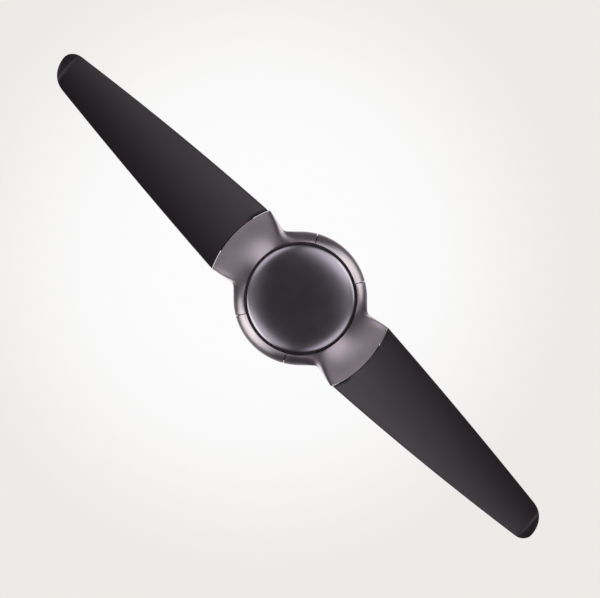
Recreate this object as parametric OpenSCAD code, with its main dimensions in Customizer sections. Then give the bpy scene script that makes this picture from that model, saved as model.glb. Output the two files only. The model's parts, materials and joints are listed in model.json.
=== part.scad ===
// Two-blade ceiling fan: hanger, downrod, outer-rotor motor, cast blade arms and moulded blades.
// Millimetres. +Z is up, the origin is on the ceiling plane at the middle of the hanger bracket,
// and the blades lie along X. Heights inside the hub are measured up from the ring's lower rim.

/* [Whole fan] */
// Tip-to-tip diameter of the blade sweep
sweep = 1336; // [1100:2:1500]
// Ceiling to the lower rim of the turning ring
drop = 325; // [300:5:700]

/* [Hub] */
// Widest radius of the turning ring
hub_r = 132.5; // [120:0.5:160]
// Width of the ring seen from below
ring_w = 21.5; // [16:0.5:25]
// Height of the ring's rounded shoulder
shoulder_h = 22; // [16:1:26]
// Height of the ring's outer wall
ring_h = 43; // [38:1:48]
// Wall of the cast ring and the covers
wall = 2.5; // [2:0.1:3.5]
// Gap at each seam of the ring
seam_gap = 1.4; // [0.6:0.1:2.5]
// Angle that each blade arm covers on the ring
arm_angle = 120; // [110:1:130]
// Height of the fixed housing above the ring
housing_h = 54; // [50:1:80]

/* [Cap] */
// Open gap between the cap and the ring
cap_gap = 3.7; // [3:0.1:7]
// Depth of the domed cap below its rim
cap_dome = 13; // [6:0.5:18]
// Height of the cap's rim above the ring's lower rim
cap_rim_h = 5; // [2:0.5:8]

/* [Blades] */
// Blade pitch at the arm
root_pitch = 12; // [8:0.5:16]
// Blade pitch at the tip
tip_pitch = 8; // [4:0.5:12]
// Half width at the arm, leading side
root_lead = 84; // [70:0.5:90]
// Half width at the arm, trailing side
root_trail = 82.5; // [66:0.5:88]
// Hollow of the blade's underside at the arm
root_camber = 4.5; // [2:0.5:7]
// Reach of each arm beyond the ring, to the middle of its seam with the blade
arm_reach = 50.5; // [44:0.5:64]
// Upward turn of the last part of the tip
tip_turn = 32; // [0:1:40]
// Gap between the arm's end and the blade
blade_gap = 1.2; // [0.6:0.1:2]

/* [Motor] */
// Radius of the hollow motor shaft
shaft_r = 7.5; // [7:0.1:8.5]
// Radius of the hole down the shaft
shaft_hole_r = 4.5; // [3.5:0.1:5]
// Radius of the motor's lead
lead_r = 2.4; // [1.6:0.1:3]
// Outer radius of the two ball bearings
bearing_r = 17.5; // [15:0.1:21.5]
// Width of each ball bearing
bearing_w = 11; // [9:0.5:12]
// Outer radius of the stator
stator_r = 68; // [60:0.5:70]
// Stator stack thickness
stator_t = 18; // [14:1:20]
// Number of stator teeth and coils
teeth = 12; // [9:3:18]
// Number of magnets
magnet_count = 16; // [12:2:20]
// Air gap between stator and magnets
air_gap = 0.6; // [0.4:0.1:1]

/* [Hanger] */
// Radius of the downrod
rod_r = 13.35; // [11:0.05:16.5]
// Wall of the downrod
rod_wall = 2.5; // [1.8:0.1:3]
// Radius of the hanger ball
ball_r = 28; // [26:0.5:30]
// Centre of the ball below the ceiling
ball_z = 34; // [32:1:40]
// Thickness of the nylon liner in the ball seat
liner_t = 1.5; // [1:0.1:2]
// Greatest radius of the canopy
canopy_r = 66; // [64:1:80]
// Depth of the canopy
canopy_depth = 63; // [60:1:80]
// Spacing of the two ceiling screw slots
slot_spacing = 89; // [80:1:90]
// Width of the ceiling screw slots
slot_w = 5.5; // [4.5:0.1:6.5]
// Length of the ceiling screw slots
slot_len = 11; // [8:0.5:12]

/* [Hidden] */
$fn = 96;
face_z = -drop;                       // lower rim of the ring
fit = 0.05;                           // fixed pieces that seat on each other
run = 0.3;                            // gap between bodies that move past each other
ring_in = hub_r - ring_w;
cap_r = ring_in - cap_gap;
tip_x = sweep / 2;

// Motor heights above the ring's lower rim
core_z0 = 45;
core_z1 = core_z0 + stator_t;
spacer_t = 1;
window_t = 6;                         // spacer where the lead leaves the shaft
low_brg_z = core_z0 - window_t - bearing_w;
top_brg_z = core_z1 + spacer_t;
bell_t = 4;
low_bell_z = low_brg_z - 2;
top_bell_z = top_brg_z + bearing_w + 2;
split_z = (low_bell_z + top_bell_z) / 2;
magnet_t = 3.4;
iron_t = 4.8;
magnet_in = stator_r + air_gap;
iron_in = magnet_in + magnet_t;
bell_in = iron_in + iron_t;
bell_r = bell_in + 7.2;
bore_r = bearing_r - 3.5;             // opening in each bell beyond its bearing
coil_over = 6;                        // coil beyond the stack on each side
tooth_w = 8;
race_t = (bearing_r - shaft_r) * 0.27; // thickness of a bearing's race
ball_ring_r = (shaft_r + bearing_r) / 2;
bearing_ball_r = (bearing_r - shaft_r) * 0.3;
ball_play = 0.08;                     // running clearance of the balls in their grooves
sleeve_r = shaft_r + 2.4;

// Where the arms and ring covers bolt to the lower bell
flange_z = low_bell_z + 1;            // underside of the arms' inner flange
flange_t = 4;
flange_in = bell_r + 2;
lug_r = ring_in - 10;                 // reach of the bell's flange
bolt_r = (bell_r + lug_r) / 2 + 1.5;
bolt_shank = 2.5;
arm_bolts = [-35, 0, 35];
cover_bolts = [-18, 18];

// Fixed pieces at the ends of the shaft
plate_z = 15;                         // underside of the cap plate
plate_t = 2;
nut_t = 7;
housing_z0 = ring_h + 2;
housing_z1 = housing_z0 + housing_h;
seat_r = 46;                          // flat top of the housing
flange_h = 4;
socket_base = 12;                     // thickness of the coupling under the rod
rod_z0 = housing_z1 + socket_base + 1;
coupling_r = rod_r + 6.2;
coupling_top = rod_z0 + 36;
pin_z = rod_z0 + 24;
screw_z = rod_z0 + 11;
clip_r = 9;
clip_wire = 0.6;
pin_r = 3.2;
lead_off = (pin_r + rod_r - rod_wall) / 2; // the lead runs beside the pins
cover_top = coupling_top + 12;
shaft_z0 = plate_z - nut_t - 1;
shaft_z1 = rod_z0 - 2;

// Hanger, below the ceiling plane
rod_top = -ball_z + 18;
liner_in = ball_r + run;
liner_out = liner_in + liner_t;
seat_ball_r = liner_out + run;
seat_top = -ball_z - 10;
seat_bottom = -ball_z - 22;
seat_hole = rod_r + 9.4;
seat_ring_r = seat_ball_r + 7;
plate_r = canopy_r - 9;
leg_t = 3;

// Arm and blade shape, in the blade's own pitched frame
joint_z = 36;                         // height of the flat joint between arm and blade
seam_r = hub_r + arm_reach;
arc_r = seam_r + 12;                  // radius of the curved seam
arm_x0 = ring_in + 1;
tongue_x0 = hub_r - 0.5;
pad_t = 1;
tongue_t = 4.5;
clamp_t = 2;
tongue_half = 46;
blade_bolts = [[tongue_x0 + 13, -34], [tongue_x0 + 13, 34], [tongue_x0 + 35, 0]];
tip_center = 8.7;                     // the tip's furthest point, towards the trailing edge
turn_x = tip_x - 26;                  // where the tip starts to turn up
turn_len = 8;
sections = 28;
arm_sections = 12;
around = 14;                          // points along each side of a section

// ---------- helpers ----------
function mix(a, b, t) = a + (b - a) * t;
function clamp(v, lo, hi) = min(max(v, lo), hi);

// A tube between two radii, from height z0 to z1.
module tube(outer, inner, z0, z1) {
    translate([0, 0, z0]) difference() {
        cylinder(r = outer, h = z1 - z0);
        translate([0, 0, -1]) cylinder(r = inner, h = z1 - z0 + 2);
    }
}

module rod_between(r, z0, z1) {
    translate([0, 0, z0]) cylinder(r = r, h = z1 - z0);
}

// A flat slab with round corners, from height z0 to z1.
module rounded_slab(x0, x1, y0, y1, r, z0, z1) {
    translate([0, 0, z0]) linear_extrude(z1 - z0) {
        translate([x0 + r, y0]) square([x1 - x0 - 2 * r, y1 - y0]);
        translate([x0, y0 + r]) square([x1 - x0, y1 - y0 - 2 * r]);
        for (x = [x0 + r, x1 - r], y = [y0 + r, y1 - r]) translate([x, y]) circle(r = r, $fn = 32);
    }
}

// A pan-head screw pointing up, its head's seat at height 0.
module screw_up(r, length, head_r, head_h) {
    rod_between(r, 0, length);
    difference() {
        rod_between(head_r, -head_h, 0);
        for (turn = [0, 90]) rotate([0, 0, turn])
            translate([-head_r * 0.6, -0.5, -head_h - 1]) cube([head_r * 1.2, 1, 2.2]);
    }
}

module in_hub() {
    translate([0, 0, face_z]) children();
}

// The second blade and all that goes with it, half a turn round.
module opposite() {
    rotate([0, 0, 180]) children();
}

// ---------- ceiling bracket and canopy ----------
module ceiling_bracket() {
    ear_x = canopy_r - 7.5;
    color("silver") difference() {
        union() {
            rod_between(plate_r, -leg_t, 0);
            for (side = [-1, 1]) {
                translate([side > 0 ? plate_r - 8 : -ear_x, -10, -leg_t])
                    cube([ear_x - plate_r + 8, 20, leg_t]);
                translate([side > 0 ? ear_x - leg_t : -ear_x, -10, -22]) cube([leg_t, 20, 22]);
            }
        }
        for (side = [-1, 1]) {
            translate([side * slot_spacing / 2, 0, -leg_t - 1]) linear_extrude(leg_t + 2) {
                for (end = [-1, 1]) translate([end * (slot_len - slot_w) / 2, 0]) circle(d = slot_w);
                square([slot_len - slot_w, slot_w], center = true);
            }
            translate([side * canopy_r, 0, -12]) rotate([0, -side * 90, 0]) cylinder(r = 2, h = 14);
        }
        // cable entry
        translate([0, 0, -leg_t - 1]) linear_extrude(leg_t + 2) {
            for (end = [-1, 1]) translate([end * 6, 0]) circle(r = 11);
            square([12, 22], center = true);
        }
        translate([0, 40, -leg_t - 1]) cylinder(r = 2, h = leg_t + 2);
    }
}

// The cradle under the plate: two legs and a ring with a round seat, open at the front.
module ball_seat() {
    color("silver") difference() {
        union() {
            for (side = [-1, 1]) translate([side > 0 ? seat_ring_r - leg_t : -seat_ring_r, -15, seat_bottom])
                cube([leg_t, 30, -seat_bottom - leg_t]);
            rod_between(seat_ring_r, seat_bottom, seat_top);
        }
        translate([0, 0, -ball_z]) sphere(r = seat_ball_r);
        rod_between(seat_hole, seat_bottom - 1, seat_top);
        translate([-seat_hole + 4, 0, seat_bottom - 1])
            cube([2 * (seat_hole - 4), seat_ring_r + 1, seat_top - seat_bottom + 2]);
    }
}

function canopy_profile(off) = [for (i = [0:14]) let (a = 90 * i / 14)
    [seat_hole + 4 + (canopy_r - off - seat_hole - 4) * pow(cos(a), 0.9),
     -20 - (canopy_depth - 20 - off) * pow(sin(a), 0.9)]];

module canopy() {
    skin = 1.4;
    color("dimgray") difference() {
        rotate_extrude() polygon(concat([[canopy_r - skin, -1], [canopy_r, -1]],
            canopy_profile(0), [for (i = [14:-1:0]) canopy_profile(skin)[i]]));
        for (side = [-1, 1]) translate([side * (canopy_r + 2), 0, -12]) rotate([0, -side * 90, 0])
            cylinder(r = 2.3, h = 8);
    }
}

module canopy_screws() {
    color("silver") for (side = [-1, 1])
        translate([side * (canopy_r + 0.2), 0, -12]) rotate([0, -side * 90, 0])
            screw_up(2 - fit, 11, 4.2, 2.6);
}

module receiver_box() {
    color("gainsboro") difference() {
        rounded_slab(-28, 28, -52, -seat_ball_r - 0.5, 3, -24, -leg_t);
        translate([-20, -52.5, -19]) cube([40, 1.3, 8]);
    }
}

module wire_connectors() {
    color("orange") for (i = [-1:1])
        translate([i * 12, 44 - abs(i) * 3, -28]) cylinder(r1 = 5, r2 = 3.2, h = 18);
}

module earth_screw() {
    color("seagreen") translate([0, 40, -leg_t]) screw_up(2 - fit, leg_t - 0.2, 4.2, 2.4);
}

// ---------- ball joint and downrod ----------
module ball_liner() {
    color("ivory") difference() {
        intersection() {
            translate([0, 0, -ball_z]) sphere(r = liner_out);
            rod_between(liner_out + 1, -ball_z - 20.5, -ball_z - 5);
        }
        translate([0, 0, -ball_z]) sphere(r = liner_in);
        translate([-seat_hole + 5, 0, seat_bottom])
            cube([2 * (seat_hole - 5), liner_out + 1, 30]);
    }
}

module hanger_ball() {
    color("dimgray") difference() {
        intersection() {
            translate([0, 0, -ball_z]) sphere(r = ball_r);
            rod_between(ball_r + 1, -ball_z - 21, -ball_z + 14);
        }
        rod_between(rod_r + fit, -ball_z - 30, 0);
        translate([-ball_r, -pin_r - fit, -ball_z + 10 - pin_r - fit])
            cube([2 * ball_r, 2 * (pin_r + fit), 20]);
        translate([0, 0, -ball_z]) rotate([-90, 0, 0]) cylinder(r = 2.5, h = ball_r + 1);
    }
}

module ball_pin() {
    color("silver") translate([-22, 0, -ball_z + 10]) rotate([0, 90, 0])
        cylinder(r = pin_r, h = 44);
}

module ball_set_screw() {
    color("silver") translate([0, 0, -ball_z]) rotate([-90, 0, 0])
        translate([0, 0, rod_r + fit]) difference() {
            cylinder(r = 2.5 - fit, h = ball_r - rod_r - 3);
            translate([0, 0, ball_r - rod_r - 5.5]) cylinder(r = 1.3, h = 3, $fn = 6);
        }
}

module downrod() {
    color("dimgray") difference() {
        tube(rod_r, rod_r - rod_wall, face_z + rod_z0, rod_top);
        translate([-ball_r, 0, -ball_z + 10]) rotate([0, 90, 0])
            cylinder(r = pin_r + fit, h = 2 * ball_r);
        translate([-ball_r, 0, face_z + pin_z]) rotate([0, 90, 0])
            cylinder(r = pin_r + fit, h = 2 * ball_r);
    }
}

// ---------- coupling between rod and motor shaft ----------
module coupling() {
    color("darkgray") in_hub() difference() {
        union() {
            rod_between(seat_r - 5, housing_z1, housing_z1 + flange_h);
            rod_between(coupling_r, housing_z1, coupling_top);
        }
        rod_between(rod_r + 0.25, rod_z0 - 1, coupling_top + 1);
        rod_between(shaft_r + fit, housing_z1 - 1, rod_z0);
        translate([-coupling_r - 1, 0, pin_z]) rotate([0, 90, 0])
            cylinder(r = pin_r + fit, h = 2 * coupling_r + 2);
        translate([0, -coupling_r - 1, screw_z]) rotate([-90, 0, 0])
            cylinder(r = 3, h = 2 * coupling_r + 2);
        for (a = [45:90:360]) rotate([0, 0, a])
            translate([(coupling_r + seat_r - 5) / 2, 0, housing_z1 - 1]) cylinder(r = 2, h = flange_h + 2);
    }
}

module coupling_pin() {
    color("silver") in_hub() translate([0, 0, pin_z]) rotate([0, 90, 0]) difference() {
        union() {
            translate([0, 0, -coupling_r - 2.5]) cylinder(r = 4.4, h = 2.4);
            translate([0, 0, -coupling_r - 0.2]) cylinder(r = pin_r, h = 2 * coupling_r + 7.2);
        }
        translate([0, -5, coupling_r + 4]) rotate([-90, 0, 0]) cylinder(r = clip_wire + 0.7, h = 10);
    }
}

// A split ring through the end of the coupling pin.
module coupling_clip() {
    color("silver") in_hub() translate([coupling_r + 4, 0, pin_z - clip_r]) rotate([0, 90, 0])
        rotate_extrude() translate([clip_r, 0]) circle(r = clip_wire, $fn = 24);
}

module coupling_set_screws() {
    color("silver") in_hub() for (side = [-1, 1])
        translate([0, side * (rod_r + fit), screw_z]) rotate([-side * 90, 0, 0]) {
            cylinder(r = 3 - fit, h = 11);
            translate([0, 0, coupling_r - rod_r + 0.1]) difference() {
                cylinder(r = 5.2, h = 3, $fn = 6);
                translate([0, 0, -1]) cylinder(r = 2.6, h = 5);
            }
        }
}

cover_curve = [for (i = [0:12]) let (t = i / 12)
    [mix(rod_r + 12, seat_r - 1, pow(t, 1.7)), mix(cover_top - 4, housing_z1 + run, t)]];

module coupling_cover() {
    skin = 1.6;
    color("dimgray") in_hub() rotate_extrude() polygon(concat(
        [[rod_r + 0.4, cover_top - skin], [rod_r + 0.4, cover_top], [rod_r + 8, cover_top]],
        [for (p = cover_curve) p + [skin, 0]],
        [for (i = [12:-1:0]) cover_curve[i]],
        [[rod_r + 8, cover_top - skin]]));
}

// ---------- motor: fixed pieces ----------
module lead_window(top) {
    low = core_z0 - window_t / 2 - lead_r - 0.3;
    translate([-lead_r - 0.4, 0, low]) cube([2 * lead_r + 0.8, sleeve_r + 2, top - low]);
}

module motor_shaft() {
    color("silver") in_hub() difference() {
        tube(shaft_r, shaft_hole_r, shaft_z0, shaft_z1);
        lead_window(core_z0 + 3);
    }
}

module stator_core() {
    color("slategray") in_hub() translate([0, 0, core_z0]) linear_extrude(stator_t) difference() {
        union() {
            difference() {
                circle(r = stator_r);
                circle(r = stator_r - 4);
                for (i = [0:teeth - 1]) rotate([0, 0, (i + 0.5) * 360 / teeth])
                    translate([stator_r - 8, -1.5]) square([12, 3]);
            }
            circle(r = stator_r / 2);
            for (i = [0:teeth - 1]) rotate([0, 0, i * 360 / teeth])
                translate([stator_r / 2 - 2, -tooth_w / 2]) square([stator_r / 2, tooth_w]);
        }
        circle(r = shaft_r + fit);
        for (i = [0:5]) rotate([0, 0, i * 60 + 15]) translate([stator_r * 0.33, 0]) circle(r = 4.5);
    }
}

module stator_windings() {
    color("peru") in_hub() for (i = [0:teeth - 1]) rotate([0, 0, i * 360 / teeth])
        difference() {
            rounded_slab(stator_r / 2 + 5.5, stator_r - 5, -tooth_w / 2 - 4.4, tooth_w / 2 + 4.4, 2.5,
                core_z0 - coil_over, core_z1 + coil_over);
            translate([stator_r / 2, -tooth_w / 2 - fit, core_z0 - fit])
                cube([stator_r / 2, tooth_w + 2 * fit, stator_t + 2 * fit]);
        }
}

module stator_board() {
    color("green") in_hub() {
        difference() {
            union() {
                tube(stator_r / 2 + 3, bearing_r + 6.5, core_z0 - 3, core_z0 - 1.4);
                for (a = [45:120:300]) rotate([0, 0, a]) translate([stator_r / 2 - 3, 0, 0])
                    rod_between(2.2, core_z0 - 1.5, core_z0 - fit);
            }
            rod_between(shaft_r + 2, 0, core_z0);
        }
        for (a = [0:30:60]) rotate([0, 0, a + 200]) translate([stator_r / 2 - 5, -2.5, core_z0 - 5])
            cube([5, 5, 2.02]);
    }
}

// Sleeves that hold the stack apart along the shaft; one has a window for the lead.
module bearing_spacers() {
    color("silver") in_hub() {
        tube(sleeve_r, shaft_r + fit, plate_z + plate_t, low_brg_z);
        difference() {
            tube(sleeve_r, shaft_r + fit, core_z0 - window_t, core_z0);
            lead_window(core_z0 - 0.3);
        }
        tube(sleeve_r, shaft_r + fit, core_z1, core_z1 + spacer_t);
        tube(sleeve_r, shaft_r + fit, top_brg_z + bearing_w, housing_z1);
    }
}

// Bearing races, their grooves cut round the ring of balls.
module race(outer, inner, z0) {
    color("silver") in_hub() difference() {
        tube(outer, inner, z0, z0 + bearing_w);
        translate([0, 0, z0 + bearing_w / 2]) rotate_extrude() translate([ball_ring_r, 0])
            circle(r = bearing_ball_r + ball_play, $fn = 48);
    }
}

module bearing_inner(z0) {
    race(shaft_r + race_t, shaft_r + fit, z0);
}

module bearing_outer(z0) {
    race(bearing_r, bearing_r - race_t, z0);
}

module bearing_balls(z0) {
    color("gainsboro") in_hub() for (i = [0:7]) rotate([0, 0, i * 45])
        translate([ball_ring_r, 0, z0 + bearing_w / 2]) sphere(r = bearing_ball_r);
}

module bearing_cage(z0) {
    color("goldenrod") in_hub() difference() {
        tube(ball_ring_r + 0.9, ball_ring_r - 0.9, z0 + 1, z0 + bearing_w - 1);
        for (i = [0:7]) rotate([0, 0, i * 45]) translate([ball_ring_r - 3, 0, z0 + bearing_w / 2])
            rotate([0, 90, 0]) cylinder(r = bearing_ball_r + 0.12, h = 6);
    }
}

housing_curve = [for (i = [0:18]) let (a = 90 * i / 18)
    [seat_r + (hub_r - 3.5 - seat_r) * pow(sin(a), 0.85), housing_z0 + housing_h * pow(cos(a), 0.85)]];

module top_housing() {
    color("dimgray") in_hub() difference() {
        rotate_extrude() polygon(concat(
            [[sleeve_r + 1, housing_z1 - wall], [sleeve_r + 1, housing_z1], [seat_r - 6, housing_z1]],
            housing_curve,
            [for (i = [18:-1:1]) housing_curve[i] - [wall * sin(5 * i), wall * cos(5 * i)]],
            [[seat_r - 6, housing_z1 - wall]]));
        for (a = [45:90:360]) rotate([0, 0, a])
            translate([(coupling_r + seat_r - 5) / 2, 0, housing_z1 - 5]) cylinder(r = 2.2, h = 10);
    }
}

module housing_screws() {
    color("silver") in_hub() for (a = [45:90:360]) rotate([0, 0, a])
        translate([(coupling_r + seat_r - 5) / 2, 0, housing_z1 - wall]) screw_up(2 - fit, 7, 3.8, 2.2);
}

// The plate that the cap locks on, with a rim cut by three entry slots.
lock_angle = 14;
plate_edge = cap_r - wall - 1;
module cap_plate() {
    color("darkgray") in_hub() difference() {
        union() {
            tube(plate_edge - 5, shaft_r + fit, plate_z, plate_z + plate_t);
            tube(plate_edge, plate_edge - 5 - fit, plate_z, plate_z + plate_t);
            tube(plate_edge - 6, plate_edge - 8, plate_z, plate_z + 5);
        }
        for (a = [0:120:240]) rotate([0, 0, a]) {
            rotate([0, 0, 3 - lock_angle]) translate([plate_edge - 5, -7, plate_z - 1]) cube([8, 14, 5]);
            translate([30, 0, plate_z - 1]) cylinder(r = 6, h = 5);
        }
    }
}

module shaft_washer() {
    color("silver") in_hub() tube(shaft_r + 8, shaft_r + fit, plate_z - 1, plate_z);
}

module shaft_nut() {
    color("silver") in_hub() difference() {
        translate([0, 0, plate_z - nut_t]) cylinder(r = shaft_r + 5, h = nut_t - 1, $fn = 6);
        rod_between(shaft_r + fit, plate_z - nut_t - 1, plate_z);
    }
}

// The lead leaves the board, enters the shaft by its window and runs up past the two pins.
lead_sides = 10;
lead_path = [[0, bearing_r + 6.3, core_z0 - window_t / 2], [0, sleeve_r + 4, core_z0 - window_t / 2],
    [0, sleeve_r - 2, core_z0 - window_t / 2 + 0.1], [0, 3, core_z0 - window_t / 2 + 1.6],
    [0, 0.6, core_z0 + 1.5], [0, 0, core_z0 + 6], [0, 0, mix(core_z0, shaft_z1, 0.5)],
    [0, 0, shaft_z1 - 4], [0, 1.2, shaft_z1 + 3], [0, lead_off - 1.2, pin_z - 10],
    [0, lead_off, pin_z - 4], [0, lead_off, pin_z + 20], [0, lead_off, mix(pin_z, drop + rod_top, 0.6)],
    [0, lead_off, drop + rod_top + 2]];

module motor_lead() {
    n = len(lead_path);
    function dir(i) = let (a = lead_path[max(i - 1, 0)], b = lead_path[min(i + 1, n - 1)])
        (b - a) / norm(b - a);
    ring = [for (i = [0:n - 1], k = [0:lead_sides - 1]) let (d = dir(i), a = 360 * k / lead_sides)
        lead_path[i] + lead_r * (cos(a) * [1, 0, 0] + sin(a) * [0, d[2], -d[1]])];
    sides = [for (i = [0:n - 2], k = [0:lead_sides - 1])
        let (a = i * lead_sides + k, b = i * lead_sides + (k + 1) % lead_sides)
        [a, a + lead_sides, b + lead_sides, b]];
    first = [for (k = [0:lead_sides - 1]) k];
    last = [for (k = [lead_sides - 1:-1:0]) (n - 1) * lead_sides + k];
    color("whitesmoke") in_hub() polyhedron(points = ring, faces = concat(sides, [first, last]), convexity = 6);
}

// ---------- cap ----------
function dome(r, radius, depth) = -depth * pow(1 - pow(min(r / radius, 1), 2.4), 1 / 2.4);
function cap_outer(i) = let (r = cap_r * sin(90 * i / 26)) [r, cap_rim_h + dome(r, cap_r, cap_dome)];
function cap_inner(i) = let (r = (cap_r - wall) * sin(90 * i / 26))
    [r, cap_rim_h + dome(r, cap_r - wall, cap_dome - wall)];

module bottom_cap() {
    color("#35323a") in_hub() {
        rotate_extrude() polygon(concat(
            [for (i = [0:26]) cap_outer(i)],
            [[cap_r, plate_z + plate_t + 3], [cap_r - wall, plate_z + plate_t + 3]],
            [for (i = [26:-1:0]) cap_inner(i)]));
        // three lugs that rest on the plate's rim
        for (a = [0:120:240]) rotate([0, 0, a]) rotate_extrude(angle = 6)
            translate([plate_edge - 3.5, plate_z + plate_t + 0.3]) square([cap_r - wall / 2 - plate_edge + 3.5, 2]);
    }
}

// ---------- motor: turning pieces ----------
module bell(z0, z1, plate_lo, plate_hi, boss_lo, boss_hi) {
    difference() {
        union() {
            tube(bell_r, bell_in + fit, z0, z1);
            tube(bell_r - 1, bearing_r + fit, plate_lo, plate_hi);
            tube(bearing_r + 4.5, bearing_r + fit, boss_lo, boss_hi);
        }
        for (i = [0:5]) rotate([0, 0, i * 60 + 30]) translate([bell_r - 3.6, 0, z0 - 1])
            cylinder(r = 1.5, h = z1 - z0 + 2);
        for (i = [0:5]) rotate([0, 0, i * 60]) translate([bell_r * 0.6, 0, plate_lo - 1])
            cylinder(r = 8, h = plate_hi - plate_lo + 2);
    }
}

module lower_bell() {
    color("darkgray") in_hub() difference() {
        union() {
            bell(low_bell_z, split_z, low_bell_z, low_bell_z + bell_t, low_bell_z, low_brg_z + bearing_w);
            tube(bearing_r + 1, bore_r, low_bell_z, low_brg_z);
            tube(lug_r, bell_r - 1, flange_z + flange_t, flange_z + flange_t + 6);
        }
        for (side = [0, 180]) {
            for (a = arm_bolts) rotate([0, 0, side + a])
                translate([bolt_r, 0, flange_z]) cylinder(r = bolt_shank, h = 12);
            for (a = cover_bolts) rotate([0, 0, side + 90 + a])
                translate([bolt_r, 0, flange_z]) cylinder(r = bolt_shank, h = 12);
        }
    }
}

module upper_bell() {
    color("darkgray") in_hub() {
        bell(split_z, top_bell_z, top_bell_z - bell_t, top_bell_z, top_brg_z, top_bell_z);
        tube(bearing_r + 1, bore_r, top_brg_z + bearing_w, top_bell_z);
    }
}

module bell_screws() {
    color("silver") in_hub() for (i = [0:5]) rotate([0, 0, i * 60 + 30])
        translate([bell_r - 3.6, 0, low_bell_z]) screw_up(1.5 - fit, top_bell_z - low_bell_z - 2, 3, 1.8);
}

module back_iron() {
    color("dimgray") in_hub() tube(bell_in, iron_in + fit, core_z0 - 1, core_z1 + 1);
}

module magnets() {
    span_angle = 360 / magnet_count - 2;
    color("#4a4a50") in_hub() for (i = [0:magnet_count - 1]) rotate([0, 0, i * 360 / magnet_count])
        translate([0, 0, core_z0]) rotate_extrude(angle = span_angle)
            translate([magnet_in, 0]) square([magnet_t, stator_t]);
}

// ---------- turning ring ----------
// Outer line of the ring's shoulder: level at the inner rim, upright at the widest point.
shoulder_steps = 14;
function shoulder(width, height, x0, z0) = [for (i = [0:shoulder_steps])
    let (t = sin(90 * i / shoulder_steps))
    [x0 + width * t, z0 + height * (1 - pow(1 - pow(t, 1.5), 1 / 1.5))]];

module ring_section() {
    inner_line = shoulder(ring_w - 2 * wall, shoulder_h, ring_in + wall, wall);
    polygon(concat(
        shoulder(ring_w, shoulder_h, ring_in, 0),
        [[hub_r, ring_h], [hub_r - wall, ring_h]],
        [for (i = [shoulder_steps:-1:0]) inner_line[i]],
        [[ring_in + wall, flange_z + flange_t], [flange_in, flange_z + flange_t],
         [flange_in, flange_z], [ring_in, flange_z]]));
}

// One stretch of the ring, centred on azimuth mid.
module ring_piece(mid, angle, bolts) {
    gap_angle = seam_gap / hub_r * 180 / PI;
    difference() {
        rotate([0, 0, mid - (angle - gap_angle) / 2])
            rotate_extrude(angle = angle - gap_angle) ring_section();
        for (a = bolts) rotate([0, 0, mid + a]) translate([bolt_r, 0, flange_z - 1])
            cylinder(r = bolt_shank + 0.3, h = flange_t + 2);
    }
}

module ring_cover() {
    color("#77757a") in_hub() ring_piece(90, 180 - arm_angle, cover_bolts);
}

module bolts_up(mid, bolts) {
    for (a = bolts) rotate([0, 0, mid + a]) translate([bolt_r, 0, flange_z])
        screw_up(bolt_shank - fit, 8, 4.2, 2.8);
}

module arm_screws() {
    color("silver") in_hub() for (side = [0, 180]) bolts_up(side, arm_bolts);
}

module cover_screws() {
    color("silver") in_hub() for (side = [90, 270]) bolts_up(side, cover_bolts);
}

// ---------- blade and arm surfaces ----------
// Both are lofts of closed sections. u runs from -1 at the leading edge to 1 at the trailing edge.
span_x = tip_x - seam_r;
function seam_x(y) = seam_r - arc_r + sqrt(arc_r * arc_r - y * y);
function along(x) = (x - seam_r + 17) / (span_x + 17);
// Straight-sided half widths, before the tip is rounded off
function lead_line(x) = root_lead * (1 - 0.415 * along(x) - 0.146 * pow(along(x), 2));
function trail_line(x) = root_trail * (1 - 0.39 * along(x) - 0.255 * pow(along(x), 2));
function rounding(x, length) = let (q = clamp((x - tip_x + length) / length, 0, 0.999))
    pow(1 - pow(q, 2.2), 1 / 2.2);
function lead_half(x) = mix(-tip_center, lead_line(x), rounding(x, 42));
function trail_half(x) = mix(tip_center, trail_line(x), rounding(x, 24));
function tip_rise(x) = let (d = x - turn_x) tan(tip_turn)
    * (d <= 0 ? 0 : d < turn_len ? d * d / (2 * turn_len) : d - turn_len / 2);

// Places a point of the pitched section (y, z) in the hub's frame.
function pitched(x, y, z, pitch) = [x, y * cos(pitch) + z * sin(pitch),
    joint_z - y * sin(pitch) + z * cos(pitch)];

// y across a section at u, between the leading half width a and the trailing half width b.
function across(u, a, b) = u < 0 ? u * a : u * b;
function edge(u, sharpness) = pow(max(1 - pow(abs(u), sharpness), 0), 1 / 2.2);
function spread(i) = -cos(180 * i / around);

// Lofts rings of 2 * around points, capped at both ends.
module loft(rings) {
    n = 2 * around;
    count = len(rings);
    points = [for (ring = rings) each ring];
    sides = [for (j = [0:count - 2], i = [0:n - 1]) let (a = j * n + i, b = j * n + (i + 1) % n)
        each [[a, a + n, b], [b, a + n, b + n]]];
    strips = [for (i = [0:around - 1])
        let (low = [i, i + 1], up = [(n - i) % n, n - i - 1])
        each (i == 0 ? [[low[0], low[1], up[1]]]
            : i == around - 1 ? [[low[0], low[1], up[0]]]
            : [[low[0], low[1], up[0]], [low[1], up[1], up[0]]])];
    last = (count - 1) * n;
    ends = concat(strips, [for (f = strips) [last + f[2], last + f[1], last + f[0]]]);
    polyhedron(points = points, faces = concat(sides, ends), convexity = 6);
}

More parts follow.
